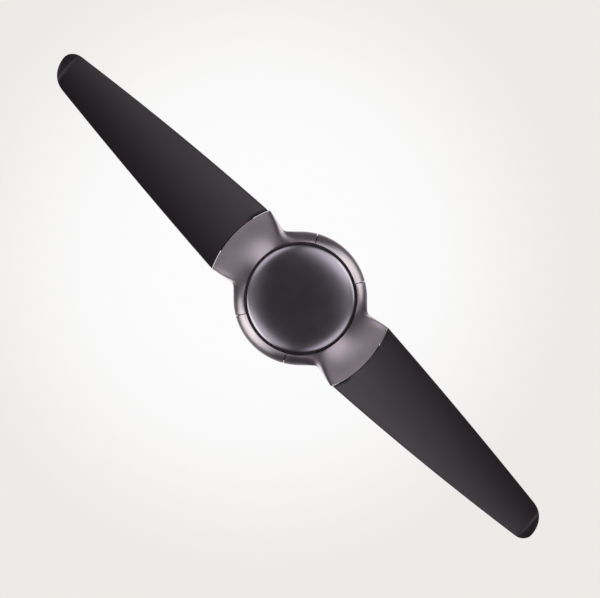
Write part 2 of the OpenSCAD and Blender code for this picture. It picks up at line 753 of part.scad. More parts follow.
// Blade section at share t of its length.
function blade_x(t, y) = mix(seam_r + blade_gap, tip_x, sin(90 * t))
    - (seam_r - seam_x(y)) * pow(1 - sin(90 * t), 2);
function blade_point(t, u, upper) = let (
    s = sin(90 * t),
    edge_x = blade_x(t, root_lead),
    y = across(u, lead_half(edge_x), trail_half(edge_x)),
    e = edge(u, mix(24, 10, s)),
    low = mix(-11, -5, s) + mix(root_camber, 1.5, s) * (1 - u * u),
    high = mix(-5, -2, s) + mix(10.5, 3.5, pow(s, 0.7)) * (1 - pow(abs(u), mix(4, 2.4, min(3 * s, 1)))),
    nose = mix(-8, -3.5, s),
    z = nose + ((upper ? high : low) - nose) * e,
    p = pitched(0, y, z, mix(root_pitch, tip_pitch, s)),
    x = blade_x(t, p[1]))
    [x, p[1], p[2] + tip_rise(x)];
function blade_ring(t) = concat(
    [for (i = [0:around]) blade_point(t, spread(i), false)],
    [for (i = [around - 1:-1:1]) blade_point(t, spread(i), true)]);

// The blade's flat root joint, in the frame of the pitched plane.
module on_joint() {
    translate([0, 0, joint_z]) rotate([-root_pitch, 0, 0]) children();
}

module joint_holes(r) {
    for (p = blade_bolts) translate([p[0], p[1], -30]) cylinder(r = r, h = 60);
}

module blade() {
    color("#2b272c") in_hub() {
        loft([for (j = [0:sections]) blade_ring(j / sections)]);
        on_joint() difference() {
            rounded_slab(tongue_x0, seam_r + 8, -tongue_half, tongue_half, 10, pad_t, pad_t + tongue_t);
            joint_holes(2.8);
        }
    }
}

module blade_pad() {
    on_joint() difference() {
        rounded_slab(tongue_x0, seam_r - 8, -tongue_half, tongue_half, 10, 0, pad_t);
        joint_holes(2.8);
    }
}

module blade_clamp() {
    on_joint() difference() {
        rounded_slab(tongue_x0 + 4, seam_r - 6, -tongue_half + 3, tongue_half - 3, 9,
            pad_t + tongue_t, pad_t + tongue_t + clamp_t);
        joint_holes(2.8);
    }
}

module blade_pads() {
    color("black") in_hub() { blade_pad(); opposite() blade_pad(); }
}

module blade_clamps() {
    color("silver") in_hub() { blade_clamp(); opposite() blade_clamp(); }
}

module blade_bolt_set() {
    on_joint() for (p = blade_bolts)
        translate([p[0], p[1], pad_t + tongue_t + clamp_t]) rotate([180, 0, 0]) screw_up(2.5 - fit, 12, 4.6, 3);
}

module blade_screws() {
    color("silver") in_hub() { blade_bolt_set(); opposite() blade_bolt_set(); }
}

// Arm section at share t from the ring's lip to the curved seam. It leaves the lip at a
// slope and eases into the blade's pitched section, and its two edges lift over the ring's shoulder.
arm_root = 38;                        // half the angle where the arm leaves the lip
arm_in = ring_in + 1.5;
function arm_end(u, upper) = let (
    low = -12 + root_camber * (1 - u * u),
    high = 1.5 - 5.5 * pow(abs(u), 4),
    z = -7 + ((upper ? high : low) + 7) * edge(u, 24))
    pitched(0, across(u, root_lead - 0.6, root_trail - 0.6), z, root_pitch);
function arm_start(u, upper) = let (a = u * arm_root,
    z = 10 + (upper ? 18 : -9.6) * edge(u, 24))
    [arm_in * cos(a), arm_in * sin(a), z];
function arm_point(t, u, upper) = let (
    a = arm_start(u, upper),
    b = arm_end(u, upper),
    s = upper ? t : t * t * (3 - 2 * t),
    lift = (u < 0 ? 15 : 7) * pow(abs(u), 4) * pow(sin(180 * pow(t, 0.7)), 2) * (upper ? 0 : 1),
    y = mix(a[1], b[1], t) - sign(u) * 4 * pow(u, 4) * sin(180 * t))
    [mix(a[0], seam_x(b[1]), t), y, mix(a[2], b[2], s) + lift];
function arm_ring(t) = concat(
    [for (i = [0:around]) arm_point(t, spread(i), false)],
    [for (i = [around - 1:-1:1]) arm_point(t, spread(i), true)]);

module blade_arm() {
    color("#77757a") in_hub() {
        difference() {
            union() {
                ring_piece(0, arm_angle, arm_bolts);
                loft([for (j = [0:arm_sections]) arm_ring(j / arm_sections)]);
                on_joint() rounded_slab(tongue_x0 - 3, seam_r - 12, -tongue_half - 4, tongue_half + 4, 10, -6, 0);
            }
            on_joint() {
                rounded_slab(tongue_x0 - 1, seam_r + 30, -tongue_half - 1, tongue_half + 1, 10, 0, 20);
                for (p = blade_bolts) translate([p[0], p[1], -6]) cylinder(r = 2.5, h = 30);
            }
        }
    }
}

// ---------- assembly ----------
ceiling_bracket();
ball_seat();
canopy();
canopy_screws();
receiver_box();
wire_connectors();
earth_screw();
ball_liner();
hanger_ball();
ball_pin();
ball_set_screw();
downrod();
coupling();
coupling_pin();
coupling_clip();
coupling_set_screws();
coupling_cover();
motor_shaft();
stator_core();
stator_windings();
stator_board();
bearing_inner(top_brg_z);  // upper_bearing_inner
bearing_inner(low_brg_z);  // lower_bearing_inner
bearing_spacers();
top_housing();
housing_screws();
cap_plate();
shaft_washer();
shaft_nut();
motor_lead();
bottom_cap();
upper_bell();
lower_bell();
bell_screws();
back_iron();
magnets();
bearing_outer(top_brg_z);  // upper_bearing_outer
bearing_outer(low_brg_z);  // lower_bearing_outer
bearing_balls(top_brg_z);  // upper_bearing_balls
bearing_balls(low_brg_z);  // lower_bearing_balls
bearing_cage(top_brg_z);  // upper_bearing_cage
bearing_cage(low_brg_z);  // lower_bearing_cage
blade_arm();  // blade_arm_1
opposite() blade_arm();  // blade_arm_2
ring_cover();  // ring_cover_1
opposite() ring_cover();  // ring_cover_2
arm_screws();
cover_screws();
blade();  // blade_1
opposite() blade();  // blade_2
blade_pads();
blade_clamps();
blade_screws();
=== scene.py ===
# %% [markdown]
# A two-blade ceiling fan, seen from below. The measured model of the fan is loaded first and stays
# as it is: it fixes every size and every place. The outer pieces are then modelled again with finer
# shapes, and the hidden ones keep their measured shape and get a finish.

# %% Load the measured fan
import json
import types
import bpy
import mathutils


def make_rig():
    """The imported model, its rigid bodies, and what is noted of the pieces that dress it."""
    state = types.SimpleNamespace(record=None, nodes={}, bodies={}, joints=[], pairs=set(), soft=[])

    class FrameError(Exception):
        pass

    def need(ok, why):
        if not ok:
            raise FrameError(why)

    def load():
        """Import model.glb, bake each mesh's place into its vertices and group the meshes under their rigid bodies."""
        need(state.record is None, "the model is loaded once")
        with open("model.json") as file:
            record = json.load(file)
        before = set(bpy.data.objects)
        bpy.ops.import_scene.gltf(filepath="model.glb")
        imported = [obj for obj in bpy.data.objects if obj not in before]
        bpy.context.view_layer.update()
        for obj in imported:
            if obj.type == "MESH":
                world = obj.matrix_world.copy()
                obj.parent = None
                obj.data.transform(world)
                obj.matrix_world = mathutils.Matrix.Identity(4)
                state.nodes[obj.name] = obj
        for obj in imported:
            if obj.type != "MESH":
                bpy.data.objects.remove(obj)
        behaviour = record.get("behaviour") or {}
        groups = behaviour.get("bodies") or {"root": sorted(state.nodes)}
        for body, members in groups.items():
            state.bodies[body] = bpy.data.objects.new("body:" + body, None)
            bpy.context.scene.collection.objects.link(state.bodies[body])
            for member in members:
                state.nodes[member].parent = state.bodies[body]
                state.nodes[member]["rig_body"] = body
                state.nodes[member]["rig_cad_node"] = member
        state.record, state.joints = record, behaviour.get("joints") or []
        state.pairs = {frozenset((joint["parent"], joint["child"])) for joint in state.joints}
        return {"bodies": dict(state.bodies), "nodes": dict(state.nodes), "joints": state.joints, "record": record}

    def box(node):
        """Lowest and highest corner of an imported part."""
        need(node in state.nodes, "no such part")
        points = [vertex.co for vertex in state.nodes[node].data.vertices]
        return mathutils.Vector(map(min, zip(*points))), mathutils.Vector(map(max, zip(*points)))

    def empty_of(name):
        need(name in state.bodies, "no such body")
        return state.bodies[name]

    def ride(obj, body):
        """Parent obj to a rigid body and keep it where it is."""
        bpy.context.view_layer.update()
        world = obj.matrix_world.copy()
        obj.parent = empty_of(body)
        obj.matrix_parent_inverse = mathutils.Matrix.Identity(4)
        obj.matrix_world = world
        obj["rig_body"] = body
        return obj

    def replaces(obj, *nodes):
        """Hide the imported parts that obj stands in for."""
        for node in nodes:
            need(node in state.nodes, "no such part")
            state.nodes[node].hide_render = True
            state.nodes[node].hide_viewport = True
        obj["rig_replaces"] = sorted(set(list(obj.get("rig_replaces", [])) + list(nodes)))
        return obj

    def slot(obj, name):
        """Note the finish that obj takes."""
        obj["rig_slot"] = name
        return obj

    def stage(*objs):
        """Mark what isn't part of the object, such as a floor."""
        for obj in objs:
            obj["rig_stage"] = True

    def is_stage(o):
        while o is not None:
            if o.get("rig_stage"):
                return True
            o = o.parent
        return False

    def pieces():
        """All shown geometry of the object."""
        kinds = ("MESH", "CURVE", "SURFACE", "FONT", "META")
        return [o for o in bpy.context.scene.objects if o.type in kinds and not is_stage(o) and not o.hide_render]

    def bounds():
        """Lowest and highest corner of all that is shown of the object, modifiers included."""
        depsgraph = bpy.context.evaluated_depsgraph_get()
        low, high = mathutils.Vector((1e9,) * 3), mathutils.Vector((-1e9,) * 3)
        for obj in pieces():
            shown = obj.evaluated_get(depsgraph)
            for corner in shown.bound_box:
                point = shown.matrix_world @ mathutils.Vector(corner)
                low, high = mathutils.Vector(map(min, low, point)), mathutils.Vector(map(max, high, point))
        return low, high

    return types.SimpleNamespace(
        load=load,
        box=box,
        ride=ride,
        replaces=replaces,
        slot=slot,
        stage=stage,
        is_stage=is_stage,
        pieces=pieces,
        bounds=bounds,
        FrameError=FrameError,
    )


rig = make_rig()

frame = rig.load()

import json
import math

import bmesh
import bpy
from mathutils import Matrix, Vector

cad_box = [list(v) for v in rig.bounds()]
nodes = frame["nodes"]
print("measured box", [[round(c, 4) for c in v] for v in cad_box])

# %% [markdown]
# Sizes are written in millimetres, as on the drawing, and heights inside the hub are counted up from
# the ring's lower rim. Blender works in metres, so one helper turns a drawing point into a scene point.

# %% Sizes
MM = 0.001
SAME_POINT = 0.00002
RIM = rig.box("ring_cover_1")[0].z / MM
RING_R = 132.5
RING_IN = 111.0
SHOULDER_H = 22.0
RING_H = 43.0
WALL = 2.5
CAP_R = 107.3
SEAM_R = 183.0
SEAM_ARC = 195.0
JOINT_Z = 36.0
TIP_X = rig.box("blade_1")[1].x / MM
PITCH = 12.0
TIP_PITCH = 8.0
print("ring rim at", round(RIM, 2), "mm, blade tip at", round(TIP_X, 2), "mm")


def at(x, y, z):
    return Vector((x * MM, y * MM, (z + RIM) * MM))


def mix(a, b, t):
    return a + (b - a) * t


def smooth(t):
    t = min(max(t, 0.0), 1.0)
    return t * t * (3 - 2 * t)


# %% [markdown]
# Modelling works on whatever is selected, so every piece starts from an empty selection. These small
# helpers pick points or edges by their place, switch to edit mode and back, and finish a piece:
# doubles merged, normals outwards, the piece's origin at the scene's origin.

# %% Selection and finishing helpers
def nothing_selected():
    if bpy.context.object and bpy.context.object.mode != "OBJECT":
        bpy.ops.object.mode_set(mode="OBJECT")
    bpy.ops.object.select_all(action="DESELECT")


def edit(obj, mode="VERT"):
    """Open one object in edit mode, picking points or edges."""
    nothing_selected()
    obj.select_set(True)
    bpy.context.view_layer.objects.active = obj
    bpy.ops.object.mode_set(mode="EDIT")
    bpy.ops.mesh.select_mode(type=mode)


def cleared(obj):
    """The mesh being edited, with nothing in it selected."""
    bm = bmesh.from_edit_mesh(obj.data)
    for part in (*bm.faces, *bm.edges, *bm.verts):
        part.select = False
    return bm


def pick_verts(obj, test):
    bm = cleared(obj)
    count = 0
    for v in bm.verts:
        v.select = bool(test(v.co))
        count += v.select
    bm.select_flush(True)
    bmesh.update_edit_mesh(obj.data)
    return count


def pick_edges(obj, test):
    bm = cleared(obj)
    hits = [e for e in bm.edges if test(e.verts[0].co, e.verts[1].co)]
    for e in hits:
        e.select = True
    bmesh.update_edit_mesh(obj.data)
    return len(hits)


def use(obj, kind, **settings):
    """Add a modifier, set it and apply it."""
    nothing_selected()
    obj.select_set(True)
    bpy.context.view_layer.objects.active = obj
    m = obj.modifiers.new(kind.title(), kind)
    for key, value in settings.items():
        setattr(m, key, value)
    bpy.ops.object.modifier_apply(modifier=m.name)


def settle(obj, angle=35.0):
    """Merge doubles, turn normals outwards, apply the placing and shade smooth up to an angle."""
    edit(obj)
    bpy.ops.mesh.select_all(action="SELECT")
    bpy.ops.mesh.remove_doubles(threshold=SAME_POINT)
    bpy.ops.mesh.normals_make_consistent(inside=False)
    bpy.ops.object.mode_set(mode="OBJECT")
    bpy.ops.object.transform_apply(location=True, rotation=True, scale=True)
    bpy.ops.object.shade_smooth_by_angle(angle=math.radians(angle))
    nothing_selected()
    return obj


def joined(first, *others):
    """Several objects made one; the first keeps its name."""
    nothing_selected()
    for o in (first, *others):
        o.select_set(True)
    bpy.context.view_layer.objects.active = first
    bpy.ops.object.join()
    return first


HALF_TURN = Matrix.Rotation(math.pi, 4, "Z")


def half_turn(obj, name):
    """A copy on the other side of the shaft."""
    copy = obj.copy()
    copy.data = obj.data.copy()
    copy.data.transform(HALF_TURN)
    copy.name = name
    bpy.context.scene.collection.objects.link(copy)
    return copy


# %% [markdown]
# Most of the fan is round. Such a piece is drawn as one closed outline, point by point with extrude,
# and then spun about the vertical axis, as a lathe would turn it. A part turn leaves two open ends,
# which are filled. A spin by a positive angle runs clockwise here, so a part turn begins at its far
# end.

# %% Lathe helper
def turned(name, outline, start=0.0, angle=360.0, steps=128):
    """Spin an outline of (radius, height) points, from start through angle, both in degrees."""
    nothing_selected()
    x, z = outline[0]
    bpy.ops.mesh.primitive_plane_add(size=0.002, location=at(x, 0, z))
    obj = bpy.context.object
    obj.name = name
    edit(obj)
    bpy.ops.mesh.select_all(action="SELECT")
    bpy.ops.mesh.merge(type="CENTER")
    for (xa, za), (xb, zb) in zip(outline, outline[1:]):
        step = Vector(((xb - xa) * MM, 0, (zb - za) * MM))
        bpy.ops.mesh.extrude_vertices_move(TRANSFORM_OT_translate={"value": step})
    off_axis = outline[0][0] > 0.01 or outline[-1][0] > 0.01
    if off_axis:
        bm = bmesh.from_edit_mesh(obj.data)
        for v in bm.verts:
            v.select = len(v.link_edges) == 1
        bm.select_flush(True)
        bmesh.update_edit_mesh(obj.data)
        bpy.ops.mesh.edge_face_add()
    bpy.ops.mesh.select_all(action="SELECT")
    if angle < 360:
        bpy.ops.transform.rotate(value=-math.radians(start + angle), orient_axis="Z",
                                 center_override=(0, 0, 0))
    bpy.ops.mesh.spin(steps=steps, angle=math.radians(angle), center=(0, 0, 0), axis=(0, 0, 1))
    bpy.ops.mesh.select_all(action="SELECT")
    bpy.ops.mesh.remove_doubles(threshold=SAME_POINT)
    if angle < 360:
        bpy.ops.mesh.select_all(action="DESELECT")
        bpy.ops.mesh.select_non_manifold()
        bpy.ops.mesh.fill_holes(sides=0)
    bpy.ops.object.mode_set(mode="OBJECT")
    return settle(obj)


def arc(cx, cz, r, a0, a1, n=6):
    """Points of a circle from angle a0 to angle a1, in degrees."""
    angles = [math.radians(mix(a0, a1, i / n)) for i in range(n + 1)]
    return [(cx + r * math.cos(a), cz + r * math.sin(a)) for a in angles]


# %% [markdown]
# The domed cap is one thin shell. Its face is nearly flat in the middle and falls away faster towards
# the rim, so the outline follows a soft power curve, ends in a small round, and turns up into the
# skirt that hides the bayonet.

# %% Domed cap
CAP_BASE, CAP_DEPTH, CAP_FULLNESS, CAP_TOP = 5, 13, 2.4, 20


def dome(radius, depth, sweep, n):
    """Points from the middle of the face almost to its rim; sweep short of 90 leaves the last bit round."""
    pts = []
    for i in range(n + 1):
        r = radius * math.sin(math.radians(sweep * i / n))
        drop = (1 - min(r / radius, 1.0) ** CAP_FULLNESS) ** (1 / CAP_FULLNESS)
        pts.append((r, CAP_BASE - depth * drop))
    return pts


cap_outline = (dome(CAP_R, CAP_DEPTH, 88.5, 40)
               + [(CAP_R, CAP_BASE + 0.6), (CAP_R, CAP_TOP - 0.4), (CAP_R - 0.5, CAP_TOP),
                  (CAP_R - WALL + 0.4, CAP_TOP), (CAP_R - WALL, CAP_TOP - 0.4), (CAP_R - WALL, CAP_BASE + 0.4)]
               + dome(CAP_R - WALL, CAP_DEPTH - WALL, 88, 30)[::-1])
cap = turned("cap", cap_outline, steps=192)
print("cap", len(cap.data.polygons), "faces")
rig.replaces(cap, "bottom_cap")
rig.ride(cap, "cap")

# %% [markdown]
# The ring's two filler covers are short stretches of the same moulding: a rounded shoulder, an upright
# wall and a bolting flange inside. One outline is spun through its part of the circle, a hair short of
# the neighbours so that the seams stay open. The outer corners at each seam are cut back by a small
# bevel, because a casting's corner is ground there and shows as a little notch.

# %% Ring covers
LIP = 0.7
BELL_R = 84.0
FLANGE_Z, FLANGE_T = 27.0, 4
SEAM_GAP, NOTCH = 1.4, 1.5
COVER_FROM, COVER_SPAN = 60, 60


def round_over(t):
    """0 to 1: the height of the ring's shoulder, flat at first and steep at the end."""
    return 1 - (1 - t ** 1.5) ** (1 / 1.5)


def shoulder(width, height, x0, z0, n=18):
    across = [math.sin(math.radians(90 * i / n)) for i in range(n + 1)]
    return [(x0 + width * t, z0 + height * round_over(t)) for t in across]


ring_outline = (arc(RING_IN + LIP, LIP, LIP, 180, 270, 3)
                + shoulder(RING_R - RING_IN, SHOULDER_H, RING_IN, 0)[3:]
                + [(RING_R, RING_H - LIP), (RING_R - LIP, RING_H), (RING_R - WALL, RING_H)]
                + shoulder(RING_R - RING_IN - 2 * WALL, SHOULDER_H, RING_IN + WALL, WALL)[::-1]
                + [(RING_IN + WALL, FLANGE_Z + FLANGE_T), (BELL_R + 2, FLANGE_Z + FLANGE_T),
                   (BELL_R + 2, FLANGE_Z), (RING_IN, FLANGE_Z)])
GAP_DEG = math.degrees(SEAM_GAP / RING_R)
cover = turned("ring_cover_front", ring_outline, COVER_FROM + GAP_DEG / 2, COVER_SPAN - GAP_DEG, 48)
edit(cover, "EDGE")
end_x = RING_R * math.cos(math.radians(COVER_FROM + GAP_DEG / 2)) * MM


def at_cover_end(c):
    return abs(abs(c.x) - end_x) < 0.0004 and math.hypot(c.x, c.y) > (RING_R - 0.4) * MM


found = pick_edges(cover, lambda a, b: at_cover_end(a) and at_cover_end(b))
bpy.ops.mesh.bevel(offset=NOTCH * MM, segments=2, affect="EDGES")
bpy.ops.object.mode_set(mode="OBJECT")
print("notched edges", found)
cover_2 = half_turn(cover, "ring_cover_back")
for piece, measured in ((cover, "ring_cover_1"), (cover_2, "ring_cover_2")):
    use(piece, "BEVEL", width=0.00025, segments=2, limit_method="ANGLE", angle_limit=math.radians(50))
    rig.replaces(piece, measured)
    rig.ride(piece, "rotor")
print("ring cover", len(cover.data.polygons), "faces")

# %% [markdown]
# A blade arm is the hard piece. It starts as the ring's moulding, leaves the ring at a soft neck and
# turns into the blade's pitched section, all in one cast surface with no crease. Extrude and scale
# can't draw that, so the arm is a loft: many upright sections fan out from the hub's axis, each a
# closed loop of the same number of points, and each point is placed by rule between the ring's
# section and the arm's.

# %% Arm outline seen from below
NECK_R, FLARE, LEAVES_RING = 13.0, 11.5, 45


def seam_x(y):
    """Where the arc between arm and blade lies at a place across."""
    return SEAM_R - SEAM_ARC + math.sqrt(SEAM_ARC ** 2 - y * y)


def side_path(corner_y):
    """Points from the ring's seam, along its circle, round the neck and out to the blade's corner.

    The third number of a point says how much of an arm it is there: 0 on the ring, 1 at the blade."""
    pts = []
    for i in range(13):
        a = math.radians(mix(COVER_FROM - GAP_DEG / 2, LEAVES_RING, (i / 12) ** 1.6))
        r = RING_R - (NOTCH, 0.25)[i] if i < 2 else RING_R
        pts.append((r * math.cos(a), r * math.sin(a), 0.0))
    corner = (seam_x(corner_y), corner_y)
    slope = math.radians(FLARE)
    reach = RING_R * math.sqrt(2)
    nx = (reach - corner[1] + corner[0] * math.tan(slope)) / (1 + math.tan(slope))
    ny = reach - nx
    leave = math.radians(LEAVES_RING)
    turn = leave + slope
    cut = NECK_R * math.tan(turn / 2)
    start = (nx - cut * math.cos(leave), ny + cut * math.sin(leave))
    first = (RING_R * math.cos(leave), RING_R * math.sin(leave))
    for i in range(1, 5):
        pts.append((mix(first[0], start[0], i / 5), mix(first[1], start[1], i / 5), 0.12 * i / 5))
    cx, cy = start[0] + NECK_R * math.sin(leave), start[1] + NECK_R * math.cos(leave)
    for i in range(11):
        a = leave + math.pi + turn * i / 10
        pts.append((cx + NECK_R * math.cos(a), cy + NECK_R * math.sin(a), mix(0.12, 0.5, i / 10)))
    end = pts[-1]
    for i in range(1, 15):
        t = i / 14
        pts.append((mix(end[0], corner[0], t), mix(end[1], corner[1], t), mix(0.5, 1.0, smooth(t))))
    return pts


LEAD_CORNER, TRAIL_CORNER = 82.4, 80.4
lead_path = [(x, -y, w) for x, y, w in side_path(LEAD_CORNER)]
trail_path = side_path(TRAIL_CORNER)
seam_path = []
for i in range(1, 40):
    y = mix(-LEAD_CORNER, TRAIL_CORNER, i / 40)
    seam_path.append((seam_x(y), y, 1.0))
arm_path = lead_path + seam_path + trail_path[::-1]
print("arm outline", len(arm_path), "stations")


# %% [markdown]
# The height of the arm's underside is a rule in plan. Towards the ring's seams it is the ring's round
# shoulder, which depends on how near a point is to the outline. Towards the blade it is the hollow,
# pitched face that the blade carries on. The turn round the hub mixes the two, so no fold shows.

# %% Arm sections
ARM_DROP, ARM_HOLLOW, LEAD_LIFT = 12.3, 4.5, 2.2
outline = [(x, y) for x, y, w in arm_path]


def joint_plane(y):
    """Height of the pitched face on which blade and arm meet."""
    return JOINT_Z - y * math.tan(math.radians(PITCH))


def across(y):
    """-1 at the leading corner, 0 in the middle, 1 at the trailing corner."""
    return y / (LEAD_CORNER if y < 0 else TRAIL_CORNER)


def edge_distance(x, y):
    best = 1e9
    for (ax, ay), (bx, by) in zip(outline, outline[1:]):
        lx, ly = bx - ax, by - ay
        t = min(max(((x - ax) * lx + (y - ay) * ly) / (lx * lx + ly * ly), 0.0), 1.0)
        best = min(best, (x - ax - lx * t) ** 2 + (y - ay - ly * t) ** 2)
    return math.sqrt(best)


def seam_height(y):
    u = across(y)
    return joint_plane(y) - ARM_DROP + ARM_HOLLOW * (1 - u * u) + LEAD_LIFT * smooth((-u - 0.8) / 0.25)


def armness(x, y):
    """0 where the ring is plain, 1 where the arm is."""
    return smooth((45.5 - abs(math.degrees(math.atan2(y, x)))) / 24.5)


def underside(x, y):
    r, turn = math.hypot(x, y), math.atan2(y, x)
    a = max(r - RING_IN, 0.0)
    ring_w, fade = RING_R - RING_IN, 8
    reach = a if a < ring_w else ring_w + fade * (1 - math.exp(-(a - ring_w) / fade))
    t = min(reach / (reach + edge_distance(x, y) + 1e-6), 1.0)
    ring_z = SHOULDER_H * round_over(t)
    centre = SEAM_R - SEAM_ARC
    full = centre * math.cos(turn) + math.sqrt(SEAM_ARC ** 2 - (centre * math.sin(turn)) ** 2) - RING_IN
    q = min(a / full, 1.0)
    arm_z = seam_height(y * (RING_IN + full) / max(r, 1)) * q * (1.5 - 0.5 * q)
    return mix(ring_z, arm_z, armness(x, y))


def top_edge(x, y, w):
    seam = joint_plane(y) - 0.1 - 3.0 * abs(across(y)) ** 4
    k = smooth((math.hypot(x, y) - RING_R - 2) / 40) if w < 1.0 else 1.0
    return mix(RING_H, seam, k)


FACE_POINTS, TOP_POINTS, INSIDE_POINTS = 36, 12, 8
ROUND, ROUND_IN = 0.9, 0.28
SEAT_HALF, SEAT_FROM, SEAT_END = 52, 126, 125.0


def arm_section(x, y, w):
    """One closed loop of points, in the upright plane through the axis and an outline point."""
    R, a = math.hypot(x, y), math.atan2(y, x)
    top = top_edge(x, y, w)
    curve = smooth(w)
    pts = [(RING_IN, FLANGE_Z), (RING_IN, LIP), (RING_IN + 0.2, 0.2)]
    for i in range(FACE_POINTS):
        step = (i + 0.6) / FACE_POINTS
        t = mix(math.sin(math.radians(90 * step)), step, 0.5 * w)
        r = mix(RING_IN, R - ROUND * curve, t)
        pts.append((r, underside(r * math.cos(a), r * math.sin(a))))
    low = min(underside(x, y), top - 3.5)
    pts += [(R - ROUND * curve, low), (R - ROUND_IN * curve, low + 0.25 * curve),
            (R, low + ROUND * curve + 0.05), (R, top - LIP), (R - LIP, top)]
    inner_r = mix(RING_R - WALL, SEAT_END, curve)
    inner_z = mix(RING_H, JOINT_Z, curve)
    for i in range(1, TOP_POINTS + 1):
        t = i / TOP_POINTS
        r = mix(R - LIP, inner_r, t)
        px, py = r * math.cos(a), r * math.sin(a)
        seat = smooth((SEAT_HALF - abs(py)) / 3) * smooth((px - SEAT_FROM) / 3) * curve
        pts.append((r, mix(mix(top, inner_z, t), joint_plane(py) - 0.1, seat)))
    inner_wall = RING_IN + WALL
    for i in range(1, INSIDE_POINTS + 1):
        t = i / INSIDE_POINTS
        r = mix(inner_r, inner_wall, t)
        z_ring = WALL + SHOULDER_H * round_over(max((r - inner_wall) / (inner_r - inner_wall), 0))
        pts.append((r, mix(min(z_ring, inner_z), mix(inner_z, 8, t), curve)))
    pts += [(inner_wall, FLANGE_Z + FLANGE_T), (BELL_R + 2, FLANGE_Z + FLANGE_T), (BELL_R + 2, FLANGE_Z)]
    return [at(r * math.cos(a), r * math.sin(a), z) for r, z in pts]


def lofted(name, rings):
    """Join loops of equal length into one closed skin."""
    n = len(rings[0])
    verts = [p for ring in rings for p in ring]
    faces = [(k * n + i, k * n + (i + 1) % n, (k + 1) * n + (i + 1) % n, (k + 1) * n + i)
             for k in range(len(rings) - 1) for i in range(n)]
    faces += [tuple(range(n))[::-1], tuple(range((len(rings) - 1) * n, len(rings) * n))]
    mesh = bpy.data.meshes.new(name)
    mesh.from_pydata(verts, [], faces)
    obj = bpy.data.objects.new(name, mesh)
    bpy.context.scene.collection.objects.link(obj)
    return obj


arm = lofted("blade_arm_right", [arm_section(*p) for p in arm_path])
settle(arm, 40)
arm_2 = half_turn(arm, "blade_arm_left")
for piece, measured in ((arm, "blade_arm_1"), (arm_2, "blade_arm_2")):
    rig.replaces(piece, measured)
    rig.ride(piece, "rotor")
print("arm", len(arm.data.polygons), "faces")

# %% [markdown]
# A blade is a broad, thin moulding: hollow underneath, crowned on top, tapering and untwisting towards
# a rounded tip that turns up. It begins as a flat bar with rounded long edges. Columns of points are
# moved for the hollow and the crown, then each cross row is narrowed, thinned, pitched and lifted.

# %% Blade outline
ROOT_LEAD, ROOT_TRAIL = 84.0, 82.5
BLADE_GAP = 1.2
ROOT_X = SEAM_R + BLADE_GAP
TIP_MIDDLE, LEAD_ROUND, TRAIL_ROUND, TIP_FULLNESS = 8.7, 42, 24, 2.2
FOLD_FROM_TIP, FOLD_LENGTH, FOLD_ANGLE = 26, 8, 32


def along(x):
    """0 where the taper starts, just inside the seam, and 1 at the tip."""
    return (x - SEAM_R + 17) / (TIP_X - SEAM_R + 17)


def rounding(x, length):
    """1 along the blade, falling to 0 over the last stretch before the tip."""
    q = min(max((x - TIP_X + length) / length, 0), 0.9995)
    return (1 - q ** TIP_FULLNESS) ** (1 / TIP_FULLNESS)


def lead_half(x):
    straight = ROOT_LEAD * (1 - 0.415 * along(x) - 0.146 * along(x) ** 2)
    return mix(-TIP_MIDDLE, straight, rounding(x, LEAD_ROUND))


def trail_half(x):
    straight = ROOT_TRAIL * (1 - 0.39 * along(x) - 0.255 * along(x) ** 2)
    return mix(TIP_MIDDLE, straight, rounding(x, TRAIL_ROUND))


def tip_rise(x):
    d = x - (TIP_X - FOLD_FROM_TIP)
    if d <= 0:
        return 0
    bent = d * d / (2 * FOLD_LENGTH) if d < FOLD_LENGTH else d - FOLD_LENGTH / 2
    return math.tan(math.radians(FOLD_ANGLE)) * bent


def root_at(u):
    """Where the blade begins, for a column at u, from -1 at the leading edge to 1 at the trailing."""
    y = u * (ROOT_LEAD if u < 0 else ROOT_TRAIL) * math.cos(math.radians(PITCH))
    return seam_x(y) + BLADE_GAP


print("blade", round(2 * lead_half(ROOT_X)), "mm wide at the root")

# %% Blade bar
ROWS, COLS = 64, 18
BAR_Z, BAR_T = -8, 6

nothing_selected()
bpy.ops.mesh.primitive_cube_add(size=1, location=((ROOT_X + TIP_X) / 2 * MM, 0, BAR_Z * MM))
blade = bpy.context.object
blade.name = "blade_right"
blade.scale = ((TIP_X - ROOT_X) * MM, 2.0, BAR_T * MM)
bpy.ops.object.transform_apply(location=True, rotation=True, scale=True)
edit(blade, "EDGE")
pick_edges(blade, lambda a, b: abs(a.x - b.x) > 0.1)
bpy.ops.mesh.subdivide(number_cuts=ROWS - 1)
pick_edges(blade, lambda a, b: abs(a.y - b.y) > 1.0)
bpy.ops.mesh.subdivide(number_cuts=COLS - 1)
print("blade bar", len(blade.data.vertices), "points before shaping")

# %% [markdown]
# The columns run the length of the bar. Each is pushed up by an amount that depends on how far across
# it lies: the lower points follow a shallow hollow and the upper ones a fuller crown, which leaves the
# two long edges thin. The same pass slides each column's root end on to the arc of the seam.

# %% Blade section: hollow below, crown above
HOLLOW, CROWN = 4.5, 10.5

